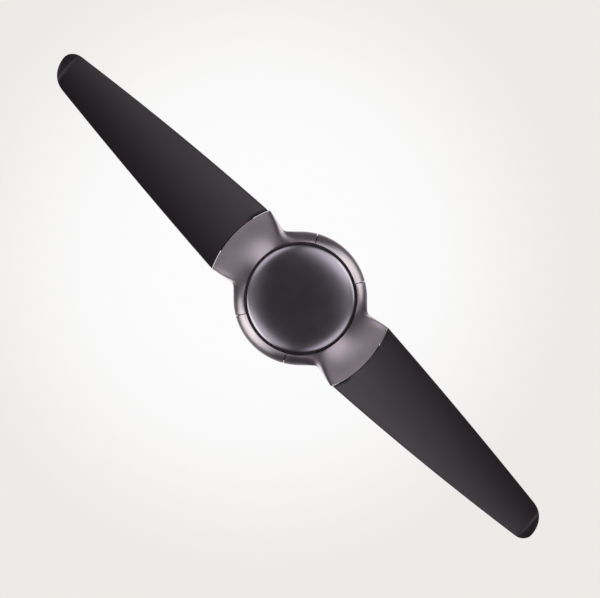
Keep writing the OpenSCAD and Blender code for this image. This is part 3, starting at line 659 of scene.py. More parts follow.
bm = bmesh.from_edit_mesh(blade.data)
for v in bm.verts:
    u = v.co.y
    v.co.y = math.sin(math.radians(90 * u)) if abs(u) < 0.9999 else math.copysign(1, u)
bmesh.update_edit_mesh(blade.data)
column_u = sorted({round(v.co.y, 5) for v in bm.verts})
for u in column_u:
    hollow = HOLLOW * MM * (1 - u * u)
    if pick_verts(blade, lambda c: abs(c.y - u) < 1e-4 and c.z < BAR_Z * MM):
        bpy.ops.transform.translate(value=(0, 0, hollow))
    if pick_verts(blade, lambda c: abs(c.y - u) < 1e-4 and c.z > BAR_Z * MM + hollow - 1e-6):
        bpy.ops.transform.translate(value=(0, 0, CROWN * MM * (1 - u ** 4)))
    pick_verts(blade, lambda c: abs(c.y - u) < 1e-4)
    bpy.ops.transform.resize(value=((TIP_X - root_at(u)) / (TIP_X - ROOT_X), 1, 1),
                             center_override=(TIP_X * MM, 0, 0))
print("blade columns", len(column_u))

# %% [markdown]
# The rows run across the bar. Row by row the blade is scaled to its width, thinned, turned to its pitch
# and lifted where the tip folds up. The rows start out evenly spaced and are moved closer together
# towards the tip, where the outline curves fastest.

# %% Blade rows: taper, thickness, pitch and the turned-up tip
TIP_THIN, EDGE_THIN, EDGE_FROM = 0.42, 0.55, 0.6

row_of = {}
for v in bmesh.from_edit_mesh(blade.data).verts:
    root = root_at(v.co.y) * MM
    row_of[v.index] = round((v.co.x - root) / (TIP_X * MM - root) * ROWS)
for row in range(ROWS + 1):
    s = math.sin(math.radians(90 * row / ROWS))
    now, x = mix(ROOT_X, TIP_X, row / ROWS), mix(ROOT_X, TIP_X, s)
    lead, trail = lead_half(x), trail_half(x)
    pitch = math.radians(mix(PITCH, TIP_PITCH, s))
    bm = cleared(blade)
    for v in bm.verts:
        v.select = row_of[v.index] == row
    bmesh.update_edit_mesh(blade.data)
    edge = rounding(x, TRAIL_ROUND)
    thin = mix(1.0, TIP_THIN, s) * (1 if edge > EDGE_FROM else mix(EDGE_THIN, 1, edge / EDGE_FROM))
    here = (now * MM, 0, 0)
    bpy.ops.transform.resize(value=(1, (lead + trail) / 2 * MM, thin), center_override=here)
    bpy.ops.transform.rotate(value=pitch, orient_axis="X", center_override=here)
    off = (trail - lead) / 2
    bpy.ops.transform.translate(value=((x - now) * MM, off * math.cos(pitch) * MM,
                                       (JOINT_Z + RIM - off * math.sin(pitch) + tip_rise(x)) * MM))
bpy.ops.object.mode_set(mode="OBJECT")
ys = [v.co.y / MM for v in blade.data.vertices]
zs = [v.co.z / MM - RIM for v in blade.data.vertices]
print("blade y", round(min(ys), 1), round(max(ys), 1), "z", round(min(zs), 1), round(max(zs), 1))

# %% [markdown]
# One level of subdivision rounds the long edges, as the mould does. A crease on the root's edges keeps
# that end crisp where it meets the arm. The tongue that the screws go through is a flat plate with
# round corners, joined to the blade's root.

# %% Blade edges rounded, tongue added
def at_root(c):
    from_centre = math.hypot(c.x / MM - SEAM_R + SEAM_ARC, c.y / MM)
    return c.x < 200 * MM and abs(from_centre - SEAM_ARC - BLADE_GAP) < 0.7


edit(blade, "EDGE")
pick_edges(blade, lambda a, b: at_root(a) and at_root(b))
bpy.ops.transform.edge_crease(value=0.9)
bpy.ops.object.mode_set(mode="OBJECT")
use(blade, "SUBSURF", levels=1, render_levels=1)


def slab(name, x0, x1, half, z0, z1, corner):
    """A flat plate with round corners, lying on the pitched joint between arm and blade."""
    nothing_selected()
    bpy.ops.mesh.primitive_cube_add(size=1, location=((x0 + x1) / 2 * MM, 0, (z0 + z1) / 2 * MM))
    obj = bpy.context.object
    obj.name = name
    obj.scale = ((x1 - x0) * MM, 2 * half * MM, (z1 - z0) * MM)
    bpy.ops.object.transform_apply(location=True, rotation=True, scale=True)
    edit(obj, "EDGE")
    pick_edges(obj, lambda a, b: abs(a.z - b.z) > 0.5 * (z1 - z0) * MM)
    bpy.ops.mesh.bevel(offset=corner * MM, segments=8, affect="EDGES")
    bpy.ops.object.mode_set(mode="OBJECT")
    use(obj, "BEVEL", width=min(0.5, (z1 - z0) * 0.3) * MM, segments=2, limit_method="ANGLE",
        angle_limit=math.radians(60))
    obj.data.transform(ON_JOINT)
    return obj


ON_JOINT = Matrix.Translation((0, 0, (JOINT_Z + RIM) * MM)) @ Matrix.Rotation(-math.radians(PITCH), 4, "X")
tongue = slab("tongue", 132, SEAM_R + 8, 46, 1, 5.5, 10)
blade = joined(blade, tongue)
settle(blade, 40)
blade_2 = half_turn(blade, "blade_left")
for piece, measured in ((blade, "blade_1"), (blade_2, "blade_2")):
    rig.replaces(piece, measured)
    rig.ride(piece, "rotor")
print("blade", len(blade.data.polygons), "faces")

# %% [markdown]
# The housing over the motor, the canopy at the ceiling and the cone over the coupling are spun or
# pressed from sheet, so each is turned from one thin outline. Their free edges are rolled or rounded,
# which is what makes sheet metal catch a line of light.

# %% Top housing
HOUSING_R, HOUSING_FOOT, HOUSING_TOP = 129.0, 45.0, 99.0
SEAT_R, SHAFT_HOLE, DISHED = 46.0, 10.9, 0.85


def bell_curve(off, n=36):
    """The housing's outside, or a skin inside it at a distance, from its flat top down to its foot."""
    pts = []
    for i in range(n + 1):
        a = math.radians(90 * i / n)
        pts.append((SEAT_R + (HOUSING_R - SEAT_R) * math.sin(a) ** DISHED - off * math.sin(a),
                    HOUSING_FOOT + (HOUSING_TOP - HOUSING_FOOT) * math.cos(a) ** DISHED - off * math.cos(a)))
    return pts


shaft_hole = [(SHAFT_HOLE, HOUSING_TOP - WALL + 0.4), (SHAFT_HOLE, HOUSING_TOP - 0.4),
              (SHAFT_HOLE + 0.4, HOUSING_TOP)]
groove = [(34.0, HOUSING_TOP), (34.6, HOUSING_TOP - 0.4), (36.4, HOUSING_TOP - 0.4), (37.0, HOUSING_TOP)]
foot = [(HOUSING_R, HOUSING_FOOT + 0.5), (HOUSING_R - 0.4, HOUSING_FOOT),
        (HOUSING_R - WALL + 0.3, HOUSING_FOOT), (HOUSING_R - WALL, HOUSING_FOOT + 0.4)]
housing_outline = (shaft_hole + groove + bell_curve(0)[1:-1] + foot + bell_curve(WALL)[1:-1][::-1]
                   + [(40.0, HOUSING_TOP - WALL), (SHAFT_HOLE + 0.4, HOUSING_TOP - WALL)])
housing = turned("top_housing_shell", housing_outline, steps=160)
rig.replaces(housing, "top_housing")
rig.ride(housing, "hanger")

# %% Canopy
CANOPY_R, CANOPY_MOUTH, CANOPY_WALL = 66.0, 26.75, 1.4
CANOPY_RIM, CANOPY_TURN, CANOPY_FLOOR, CANOPY_FULLNESS = -1 - RIM, -20 - RIM, -63 - RIM, 0.9


def canopy_curve(off, n=28):
    """From the upright side, round the corner and in to the mouth for the rod."""
    pts = []
    for i in range(n + 1):
        a = math.radians(90 * i / n)
        pts.append((CANOPY_MOUTH + (CANOPY_R - off - CANOPY_MOUTH) * math.cos(a) ** CANOPY_FULLNESS,
                    CANOPY_TURN - (CANOPY_TURN - CANOPY_FLOOR - off) * math.sin(a) ** CANOPY_FULLNESS))
    return pts


rolled_rim = [(-CANOPY_WALL, -0.4), (-1.1, 0), (-0.4, 0), (0, -0.5),
              (0, -3.2), (-0.45, -3.8), (-0.45, -4.6), (0, -5.2)]
mouth = [(0.4, 0), (0, 0.4), (0, 1.2)]
canopy_outline = ([(CANOPY_R + r, CANOPY_RIM + z) for r, z in rolled_rim] + canopy_curve(0)[:-1]
                  + [(CANOPY_MOUTH + r, CANOPY_FLOOR + z) for r, z in mouth]
                  + canopy_curve(CANOPY_WALL)[:-1][::-1])
canopy = turned("canopy_shell", canopy_outline, steps=128)
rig.replaces(canopy, "canopy")
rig.ride(canopy, "mounting")

# %% Coupling cover
ROD_R = 13.35
COVER_R, COVER_FOOT, COVER_TOP, COVER_WALL = 45.0, 99.3, 160.0, 1.6
COVER_NECK = ROD_R + 12


def cone_curve(off, n=26):
    pts = []
    for i in range(n + 1):
        t = i / n
        pts.append((COVER_NECK + (COVER_R - COVER_NECK) * (1 - t) ** 1.7 + off,
                    COVER_FOOT + (COVER_TOP - 4 - COVER_FOOT) * t))
    return pts


collar = [(0.4, -COVER_WALL), (0.4, -0.5), (0.9, 0), (7.4, 0), (10.4, -0.9), (12.6, -2.2)]
cone_foot = [(COVER_WALL, 0.5), (1.1, 0), (0.5, 0), (0, 0.5)]
cover_outline = ([(ROD_R + r, COVER_TOP + z) for r, z in collar] + cone_curve(COVER_WALL)[::-1][1:-1]
                 + [(COVER_R + r, COVER_FOOT + z) for r, z in cone_foot]
                 + cone_curve(0)[1:] + [(ROD_R + 8, COVER_TOP - COVER_WALL)])
cone = turned("coupling_cone", cover_outline, steps=96)
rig.replaces(cone, "coupling_cover")
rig.ride(cone, "rod_cover")

# %% [markdown]
# The downrod is a length of steel tube. Its two pin holes are drilled right through with a cylinder
# taken away by a Boolean, one under the hanger ball and one inside the coupling.

# %% Downrod
ROD_BORE, ROD_FOOT, ROD_TOP = ROD_R - 2.5, 112, -16 - RIM
PIN_HOLE_R, PIN_HEIGHTS = 3.25, (-24 - RIM, 136.0)

rod_outline = [(ROD_BORE, ROD_FOOT + 0.4), (ROD_BORE + 0.4, ROD_FOOT), (ROD_R - 0.5, ROD_FOOT),
               (ROD_R, ROD_FOOT + 0.5), (ROD_R, ROD_TOP - 0.5), (ROD_R - 0.5, ROD_TOP),
               (ROD_BORE + 0.4, ROD_TOP), (ROD_BORE, ROD_TOP - 0.4)]
rod = turned("downrod_tube", rod_outline, steps=64)
for z in PIN_HEIGHTS:
    nothing_selected()
    bpy.ops.mesh.primitive_cylinder_add(radius=PIN_HOLE_R * MM, depth=0.08, vertices=32,
                                        location=at(0, 0, z), rotation=(0, math.pi / 2, 0))
    drill = bpy.context.object
    use(rod, "BOOLEAN", object=drill, operation="DIFFERENCE", solver="EXACT")
    bpy.data.objects.remove(drill)
settle(rod)
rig.replaces(rod, "downrod")
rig.ride(rod, "hanger")
for piece in (housing, canopy, cone, rod):
    print(piece.name, len(piece.data.polygons), "faces")

# %% [markdown]
# The cap hangs on three lugs inside its skirt. Each is a short block of the same plastic as the rest of
# the moulding, so it is spun as a part turn and joined to the shell.

# %% Cap lugs
LUG_IN, LUG_OUT, LUG_Z0, LUG_Z1, LUG_ANGLE = 100.3, 105.8, 17.3, 19.3, 6
lug_outline = [(LUG_IN, LUG_Z0 + 0.2), (LUG_IN + 0.2, LUG_Z0), (LUG_OUT, LUG_Z0),
               (LUG_OUT, LUG_Z1), (LUG_IN + 0.2, LUG_Z1), (LUG_IN, LUG_Z1 - 0.2)]
lugs = [turned("lug", lug_outline, start, LUG_ANGLE, 6) for start in (0, 120, 240)]
joined(cap, *lugs)
print("cap with lugs", len(cap.data.polygons), "faces")

# %% [markdown]
# Screws are small but they are what shows that parts come apart. One pan head is turned in profile with
# its thread, a cross is cut into it with a cutter made of two crossed bars, and then it is copied.

# %% Screws
def screw(name, shank, length, head, head_h):
    """A pan-head screw along the axis: head below zero, threaded shank above."""
    outline = [(0.0, -head_h), (head * 0.45, -head_h),
               (head * 0.75, -head_h * 0.92), (head * 0.93, -head_h * 0.6),
               (head, -head_h * 0.2), (head, 0.0), (shank, 0.0)]
    z = 0.6
    while z < length - 1.2:
        outline += [(shank * 0.84, z), (shank, z + 0.35)]
        z += 0.8
    outline += [(shank * 0.84, length - 0.6), (shank * 0.5, length), (0.0, length)]
    obj = turned(name, [(r, zz - RIM) for r, zz in outline], steps=24)
    for turn in (0, 90):
        nothing_selected()
        bpy.ops.mesh.primitive_cube_add(size=1, location=(0, 0, -head_h * MM),
                                        rotation=(0, 0, math.radians(turn)))
        bar = bpy.context.object
        bar.scale = (head * 1.15 * MM, 0.95 * MM, head_h * 1.1 * MM)
        bpy.ops.object.transform_apply(location=True, rotation=True, scale=True)
        edit(bar)
        pick_verts(bar, lambda c: c.z > -head_h * MM)
        bpy.ops.transform.resize(value=(0.55, 0.55, 1), center_override=(0, 0, 0))
        bpy.ops.object.mode_set(mode="OBJECT")
        use(obj, "BOOLEAN", object=bar, operation="DIFFERENCE", solver="EXACT")
        bpy.data.objects.remove(bar)
    return settle(obj, 30)


def set_of(one, name, places):
    """Copies of one screw at each place, joined into a single piece."""
    copies = []
    for place in places:
        copy = one.copy()
        copy.data = one.data.copy()
        copy.data.transform(place)
        bpy.context.scene.collection.objects.link(copy)
        copies.append(copy)
    bpy.data.objects.remove(one)
    result = joined(copies[0], *copies[1:])
    result.name = name
    return settle(result, 30)


HEAD_DOWN = Matrix.Rotation(math.pi, 4, "X")
BOLTS, CLAMP_TOP = [(145, -34), (145, 34), (167, 0)], 7.5
places = [side @ ON_JOINT @ Matrix.Translation((x * MM, y * MM, CLAMP_TOP * MM)) @ HEAD_DOWN
          for side in (Matrix.Identity(4), HALF_TURN) for x, y in BOLTS]
blade_screw_set = set_of(screw("blade_screw", 2.45, 12, 4.6, 3.0), "blade_screw_set", places)
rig.replaces(blade_screw_set, "blade_screws")
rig.ride(blade_screw_set, "rotor")

places = []
for side in (-1, 1):
    hole = Matrix.Translation((side * (CANOPY_R + 0.2) * MM, 0, -12 * MM))
    places.append(hole @ Matrix.Rotation(-side * math.pi / 2, 4, "Y"))
canopy_screw_set = set_of(screw("canopy_screw", 1.95, 11, 4.2, 2.6), "canopy_screw_set", places)
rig.replaces(canopy_screw_set, "canopy_screws")
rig.ride(canopy_screw_set, "mounting")
print("screw sets", len(blade_screw_set.data.polygons), len(canopy_screw_set.data.polygons), "faces")

# %% [markdown]
# The steel and cast pieces behind the shells are right in size but have knife-sharp edges, which no cut
# or cast metal has. Each one is copied, its loose triangles are merged and its flat faces dissolved, and
# a small bevel runs along its sharp edges. A bevel that goes wrong would change the volume, so the
# volume is measured and a piece that changed too much keeps its first shape.

# %% Broken edges
def volume(mesh):
    bm = bmesh.new()
    bm.from_mesh(mesh)
    bmesh.ops.remove_doubles(bm, verts=bm.verts, dist=1e-6)
    v = bm.calc_volume(signed=True)
    bm.free()
    return v


def box_of(mesh):
    return [f(v.co[k] for v in mesh.vertices) for k in range(3) for f in (min, max)]


def softened(name, width):
    """A copy of a measured piece with its sharp edges broken, or nothing if that spoils it."""
    source = nodes[name]
    obj = source.copy()
    obj.data = source.data.copy()
    for key in list(obj.keys()):
        del obj[key]
    bpy.context.scene.collection.objects.link(obj)
    obj.name = name + "_soft_edged"
    edit(obj)
    bpy.ops.mesh.select_all(action="SELECT")
    bpy.ops.mesh.remove_doubles(threshold=SAME_POINT / 10)
    bpy.ops.mesh.dissolve_limited(angle_limit=math.radians(0.6))
    bpy.ops.object.mode_set(mode="OBJECT")
    before = volume(source.data)
    use(obj, "BEVEL", width=width * MM, segments=2, limit_method="ANGLE", angle_limit=math.radians(50))
    after = volume(obj.data)
    box_ok = all(abs(a - b) < 0.00015 for a, b in zip(box_of(obj.data), box_of(source.data)))
    if not box_ok or abs(after - before) > 0.03 * abs(before):
        bpy.data.objects.remove(obj)
        print("kept", name)
        return None
    settle(obj, 35)
    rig.replaces(obj, name)
    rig.ride(obj, source["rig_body"])
    return obj


EDGE_WIDTH = {
    "ceiling_bracket": 0.4, "ball_seat": 0.4, "receiver_box": 0.5, "hanger_ball": 0.4, "coupling": 0.5,
    "blade_clamps": 0.4, "blade_pads": 0.2, "cap_plate": 0.3, "upper_bell": 0.4, "lower_bell": 0.4,
    "stator_core": 0.15, "stator_board": 0.2, "back_iron": 0.3, "magnets": 0.3, "shaft_nut": 0.3,
}
soft_edged = {}
for name, width in EDGE_WIDTH.items():
    obj = softened(name, width)
    if obj:
        soft_edged[name] = obj
print("soft edged", sorted(soft_edged))

# %% [markdown]
# A finish is a small network of nodes. A broad noise shifts the colour a little from place to place, a
# second one makes the gloss uneven, as handling and spraying do, and a fine one lifts the surface by a
# few hundredths of a millimetre. All of them read Object coordinates, so the pattern stays on the piece.
# One helper builds the network and each finish gives its own tones, scales and gloss.

# %% Finish helper
def node(tree, kind, **values):
    """Add a shader node and set its sockets or settings by name."""
    n = tree.nodes.new("ShaderNode" + kind)
    for key, value in values.items():
        key = key.replace("_", " ")
        if key in n.inputs:
            n.inputs[key].default_value = value
        else:
            setattr(n, key.replace(" ", "_"), value)
    return n


MIX_FACTOR, MIX_A, MIX_B, MIX_COLOUR = 0, 6, 7, 2


def shaded(tree, colour, shade):
    """A colour multiplied by a shade, at full strength."""
    both = node(tree, "Mix", data_type="RGBA", blend_type="MULTIPLY")
    both.inputs[MIX_FACTOR].default_value = 1.0
    tree.links.new(colour, both.inputs[MIX_A])
    tree.links.new(shade, both.inputs[MIX_B])
    return both.outputs[MIX_COLOUR]


def finish(name, tones, gloss, grain, relief, metal=0.0, stretch=(1, 1, 1), coat=0.0, lines=None, flakes=None):
    """A material: two tones, a range of roughness, the scales of the broad and fine noise, and the
    strength and depth of the bump; lines add turned or wound stripes, flakes a sparkle."""
    mat = bpy.data.materials.new(name)
    mat.use_nodes = True
    tree = mat.node_tree
    skin = tree.nodes["Principled BSDF"]
    skin.inputs["Metallic"].default_value = metal
    skin.inputs["Coat Weight"].default_value = coat
    skin.inputs["Coat Roughness"].default_value = 0.25
    place = node(tree, "TexCoord")
    turn = node(tree, "Mapping", Scale=stretch)
    tree.links.new(place.outputs["Object"], turn.inputs["Vector"])
    broad = node(tree, "TexNoise", Scale=grain[0], Detail=5.0, Roughness=0.6)
    fine = node(tree, "TexNoise", Scale=grain[1], Detail=3.0, Roughness=0.5)
    for n in (broad, fine):
        tree.links.new(turn.outputs["Vector"], n.inputs["Vector"])
    ramp = node(tree, "ValToRGB")
    ramp.color_ramp.elements[0].position, ramp.color_ramp.elements[1].position = 0.32, 0.68
    ramp.color_ramp.elements[0].color = (*tones[0], 1)
    ramp.color_ramp.elements[1].color = (*tones[1], 1)
    tree.links.new(broad.outputs["Fac"], ramp.inputs["Fac"])
    colour = ramp.outputs["Color"]
    height = fine.outputs["Fac"]
    if lines:
        stripe = node(tree, "TexWave", Scale=lines["scale"], Distortion=lines.get("wobble", 0.4), Detail=2.0)
        stripe.bands_direction = lines.get("along", "Z")
        tree.links.new(place.outputs["Object"], stripe.inputs["Vector"])
        fade = node(tree, "MapRange", To_Min=lines.get("depth", 0.5), To_Max=1.0)
        tree.links.new(stripe.outputs["Fac"], fade.inputs["Value"])
        colour = shaded(tree, colour, fade.outputs["Result"])
        both = node(tree, "Math", operation="ADD")
        tree.links.new(stripe.outputs["Fac"], both.inputs[0])
        tree.links.new(fine.outputs["Fac"], both.inputs[1])
        height = both.outputs[0]
    if flakes:
        cells = node(tree, "TexVoronoi", Scale=flakes[0])
        tree.links.new(turn.outputs["Vector"], cells.inputs["Vector"])
        shade = node(tree, "MapRange", To_Min=1 - flakes[1], To_Max=1 + flakes[1])
        tree.links.new(cells.outputs["Color"], shade.inputs["Value"])
        colour = shaded(tree, colour, shade.outputs["Result"])
    tree.links.new(colour, skin.inputs["Base Color"])
    sheen = node(tree, "MapRange", From_Min=0.3, From_Max=0.7, To_Min=gloss[0], To_Max=gloss[1])
    uneven = node(tree, "TexNoise", Scale=grain[0] * 2.3, Detail=4.0, Roughness=0.65)
    tree.links.new(turn.outputs["Vector"], uneven.inputs["Vector"])
    tree.links.new(uneven.outputs["Fac"], sheen.inputs["Value"])
    tree.links.new(sheen.outputs["Result"], skin.inputs["Roughness"])
    bump = node(tree, "Bump", Strength=relief[0], Distance=relief[1] * MM)
    tree.links.new(height, bump.inputs["Height"])
    tree.links.new(bump.outputs["Normal"], skin.inputs["Normal"])
    return mat


# %% [markdown]
# The hub, the arms and the sheet covers wear one satin coat: dark bronze with fine metal flake, so it
# takes bright, soft reflections. The blades are moulded, near black with a trace of purple, and have a
# fine grain along their length.

# %% Finishes that show
bronze = finish("satin_bronze_coat", ((0.300, 0.276, 0.290), (0.348, 0.323, 0.336)), (0.27, 0.33),
                (16, 1900), (0.03, 0.03), metal=1.0, flakes=(2600, 0.06))
cap_coat = finish("satin_cap_coat", ((0.242, 0.234, 0.258), (0.284, 0.276, 0.300)), (0.20, 0.25),
                  (14, 1900), (0.03, 0.03), metal=1.0, flakes=(2600, 0.05))
sheet_bronze = finish("satin_bronze_sheet", ((0.270, 0.240, 0.258), (0.345, 0.305, 0.325)), (0.30, 0.42),
                      (14, 1500), (0.14, 0.04), metal=1.0, flakes=(2200, 0.12))
blade_skin = finish("moulded_blade_skin", ((0.0125, 0.0056, 0.0122), (0.0185, 0.0092, 0.0180)), (0.28, 0.35),
                    (9, 1400), (0.10, 0.05), stretch=(0.25, 1, 1), flakes=(1500, 0.08))

# %% [markdown]
# The rest is seen from above and at the ceiling, or only when the fan is taken apart: zinc plate with
# its cloudy sheen, bright screws, bare castings, varnished laminations, ferrite, copper wire, circuit
# board, nylon, rubber and the sleeve of the lead.

# %% Finishes behind the covers
zinc = finish("zinc_plate", ((0.52, 0.52, 0.50), (0.68, 0.69, 0.70)), (0.28, 0.48),
              (60, 900), (0.12, 0.03), metal=1.0, flakes=(260, 0.10))
bright_steel = finish("bright_screw_steel", ((0.50, 0.50, 0.49), (0.64, 0.64, 0.63)), (0.20, 0.36),
                      (180, 2400), (0.10, 0.02), metal=1.0)
ground_steel = finish("ground_bearing_steel", ((0.55, 0.55, 0.56), (0.66, 0.66, 0.67)), (0.14, 0.26),
                      (90, 3000), (0.06, 0.01), metal=1.0,
                      lines={"scale": 900, "depth": 0.93, "wobble": 0.2})
turned_steel = finish("turned_shaft_steel", ((0.42, 0.42, 0.43), (0.56, 0.56, 0.57)), (0.24, 0.36),
                      (70, 2000), (0.08, 0.02), metal=1.0,
                      lines={"scale": 500, "depth": 0.9, "wobble": 0.3})
casting = finish("bare_casting", ((0.46, 0.46, 0.47), (0.60, 0.60, 0.61)), (0.42, 0.60),
                 (45, 700), (0.35, 0.12), metal=1.0, flakes=(900, 0.08))
laminations = finish("varnished_laminations", ((0.16, 0.15, 0.15), (0.26, 0.25, 0.25)), (0.30, 0.46),
                     (50, 1200), (0.3, 0.08), metal=0.8,
                     lines={"scale": 320, "depth": 0.55, "wobble": 0.15})
ferrite = finish("magnet_ferrite", ((0.035, 0.036, 0.040), (0.070, 0.070, 0.076)), (0.45, 0.65),
                 (90, 1500), (0.2, 0.04), flakes=(1200, 0.2))
iron = finish("rolled_iron_ring", ((0.20, 0.20, 0.21), (0.31, 0.30, 0.30)), (0.36, 0.55),
              (40, 900), (0.2, 0.05), metal=0.9)
copper = finish("enamelled_copper", ((0.50, 0.19, 0.07), (0.68, 0.30, 0.12)), (0.18, 0.32),
                (60, 900), (0.5, 0.25), metal=1.0, coat=0.6,
                lines={"scale": 240, "depth": 0.45, "wobble": 1.2})
board = finish("circuit_board", ((0.010, 0.085, 0.035), (0.020, 0.150, 0.060)), (0.22, 0.34),
               (140, 1600), (0.25, 0.05), coat=0.5,
               lines={"scale": 120, "depth": 0.6, "wobble": 3.5, "along": "X"},
               flakes=(190, 0.25))
nylon = finish("moulded_nylon", ((0.66, 0.63, 0.55), (0.78, 0.75, 0.68)), (0.35, 0.50),
               (50, 1100), (0.15, 0.05))
box_plastic = finish("receiver_box_plastic", ((0.60, 0.60, 0.58), (0.72, 0.72, 0.70)), (0.40, 0.56),
                     (70, 1400), (0.35, 0.06))
orange = finish("connector_shell", ((0.75, 0.22, 0.03), (0.88, 0.32, 0.06)), (0.22, 0.34),
                (120, 1500), (0.15, 0.04), coat=0.3)
rubber = finish("pad_rubber", ((0.012, 0.012, 0.012), (0.030, 0.029, 0.028)), (0.62, 0.82),
                (90, 1300), (0.5, 0.12))
sleeve = finish("lead_sleeve", ((0.55, 0.53, 0.48), (0.72, 0.70, 0.64)), (0.45, 0.62),
                (140, 1600), (0.6, 0.15), lines={"scale": 420, "depth": 0.6, "wobble": 1.0})
print(len(bpy.data.materials), "finishes")

# %% [markdown]
# A piece takes one finish all over. Each of the new pieces also names the material slot it answers to,
# which is how the library knows what it is made of.

# %% Finishes put on
WEARS = {
    "satin_cap_coat": ("bronze_cast", [cap]),
    "satin_bronze_coat": ("bronze_cast", [cover, cover_2, arm, arm_2]),
    "satin_bronze_sheet": ("bronze", [canopy, cone, rod]),
    "moulded_blade_skin": ("blade_plastic", [blade, blade_2]),
    "bright_screw_steel": ("screws", [blade_screw_set, canopy_screw_set]),
}
WORN_BY = [
    (zinc, ("ceiling_bracket", "ball_seat", "cap_plate", "shaft_washer", "shaft_nut", "blade_clamps")),
    (bright_steel, ("earth_screw", "ball_set_screw", "coupling_clip", "coupling_set_screws", "housing_screws",
                    "bell_screws", "arm_screws", "cover_screws")),
    (turned_steel, ("ball_pin", "coupling_pin", "motor_shaft", "bearing_spacers")),
    (ground_steel, ("upper_bearing_inner", "lower_bearing_inner", "upper_bearing_outer", "lower_bearing_outer",
                    "upper_bearing_balls", "lower_bearing_balls")),
    (casting, ("hanger_ball", "coupling", "upper_bell", "lower_bell")),
    (nylon, ("ball_liner", "upper_bearing_cage", "lower_bearing_cage")),
    (laminations, ("stator_core",)),
    (copper, ("stator_windings",)),
    (board, ("stator_board",)),
    (iron, ("back_iron",)),
    (ferrite, ("magnets",)),
    (box_plastic, ("receiver_box",)),
    (orange, ("wire_connectors",)),
    (sleeve, ("motor_lead",)),
    (rubber, ("blade_pads",)),
]
SLOT_OF = {
    "zinc_plate": "steel", "bright_screw_steel": "screws", "turned_shaft_steel": "steel",
    "ground_bearing_steel": "steel", "bare_casting": "cast_alloy", "varnished_laminations": "core_steel",
    "magnet_ferrite": "magnet", "rolled_iron_ring": "core_steel", "enamelled_copper": "winding",
    "circuit_board": "board", "moulded_nylon": "nylon", "receiver_box_plastic": "housing_plastic",
    "connector_shell": "connector", "pad_rubber": "rubber", "lead_sleeve": "lead",
}


def wear(obj, mat):
    """Give an object one material on every face."""
    obj.data.materials.clear()
    obj.data.materials.append(mat)
    obj.data.polygons.foreach_set("material_index", [0] * len(obj.data.polygons))


for name, (slot_name, pieces) in WEARS.items():
    for piece in pieces:
        wear(piece, bpy.data.materials[name])
        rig.slot(piece, slot_name)
wear(housing, sheet_bronze)
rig.slot(housing, "bronze_cast")
for mat, names in WORN_BY:
    for name in names:
        if name in soft_edged:
            wear(soft_edged[name], mat)
            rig.slot(soft_edged[name], SLOT_OF[mat.name])
        else:
            wear(nodes[name], mat)
finished = set(WEARS) | set(SLOT_OF)
bare = []
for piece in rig.pieces():
    worn = {m.name if m else "" for m in piece.data.materials}
    if not worn or worn - finished:
        bare.append(piece.name)
print("pieces", len(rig.pieces()), "without a finish:", bare)

# %% [markdown]
# The camera looks straight up at the fan, a touch from one side, so that the two blades run from corner
# to corner of the frame. Its matrix is written from three directions: right, up and back.

# %% Camera
BLADE_ANGLE = 45.0
TURN = math.radians(BLADE_ANGLE)
RIGHT = Vector((math.cos(TURN), -math.sin(TURN), 0))
UP = Vector((-math.sin(TURN), -math.cos(TURN), 0))
LENS, DISTANCE, LEAN = 85.5, 2.80, math.radians(2.2)
target = Vector((0, 0, RIM * MM)) - RIGHT * 0.0014 - UP * 0.0005
back = Vector((-math.sin(LEAN), 0, -math.cos(LEAN)))
up = (UP - back * UP.dot(back)).normalized()
right = up.cross(back).normalized()
bpy.ops.object.camera_add()
camera = bpy.context.object
camera.data.lens = LENS
facing = Matrix((right, up, back)).transposed().to_4x4()
camera.matrix_world = Matrix.Translation(target + back * DISTANCE) @ facing
camera.data.clip_end = 60
bpy.context.scene.camera = camera

# %% [markdown]
# The studio is a pale room with soft light from a few sides. The world's network gives the camera a pale
# backdrop with a painted glow: brighter in the middle, behind the fan, and darker towards the frame's edge.
# Everything else gets the light of broad soft lamps: each lamp is a direction, a width
# and a strength, and the dot product with it says how much of the lamp a ray meets. Two low, warm lamps
# draw the bright lines on the ring. Four cooler ones, nearer straight down, are there for the pitched
# blades and for the arms, and the rest fill the dark gaps a little.

# %% Studio light
world = bpy.data.worlds.new("studio")
bpy.context.scene.world = world
world.use_nodes = True
wt = world.node_tree
wt.nodes.clear()
place = node(wt, "TexCoord")


def lamp_amount(direction, near, far):
    """1 inside a cone whose cosine is near, falling softly to 0 at the cosine far."""
    dot = node(wt, "VectorMath", operation="DOT_PRODUCT")
    wt.links.new(place.outputs["Generated"], dot.inputs[0])
    dot.inputs[1].default_value = tuple(direction.normalized())
    soft = node(wt, "MapRange", interpolation_type="SMOOTHSTEP", From_Min=far, From_Max=near,
                To_Min=0.0, To_Max=1.0)
    wt.links.new(dot.outputs["Value"], soft.inputs["Value"])
    return soft.outputs["Result"]


def towards(turn, lean):
    """A direction: turn is counted round the frame from its right side, lean from straight down."""
    side = RIGHT * math.cos(math.radians(turn)) + UP * math.sin(math.radians(turn))
    return side * math.sin(math.radians(lean)) + Vector((0, 0, -1)) * math.cos(math.radians(lean))


WARM = [
    (towards(25, 72), 0.975, 0.83, 2.4),
    (towards(211, 72), 0.975, 0.82, 2.9),
]
COOL = [
    (towards(46, 38), 0.985, 0.90, 1.80),
    (towards(226, 41), 0.985, 0.91, 1.35),
    (towards(127, 51), 0.985, 0.89, 1.55),
    (towards(-53, 51), 0.985, 0.89, 1.65),
    (towards(0, 48), 0.95, 0.78, 0.36),
    (towards(180, 48), 0.95, 0.78, 0.40),
    (towards(90, 75), 0.95, 0.70, 0.12),
    (Vector((0, 0, 1)), 0.95, 0.10, 0.70),
]


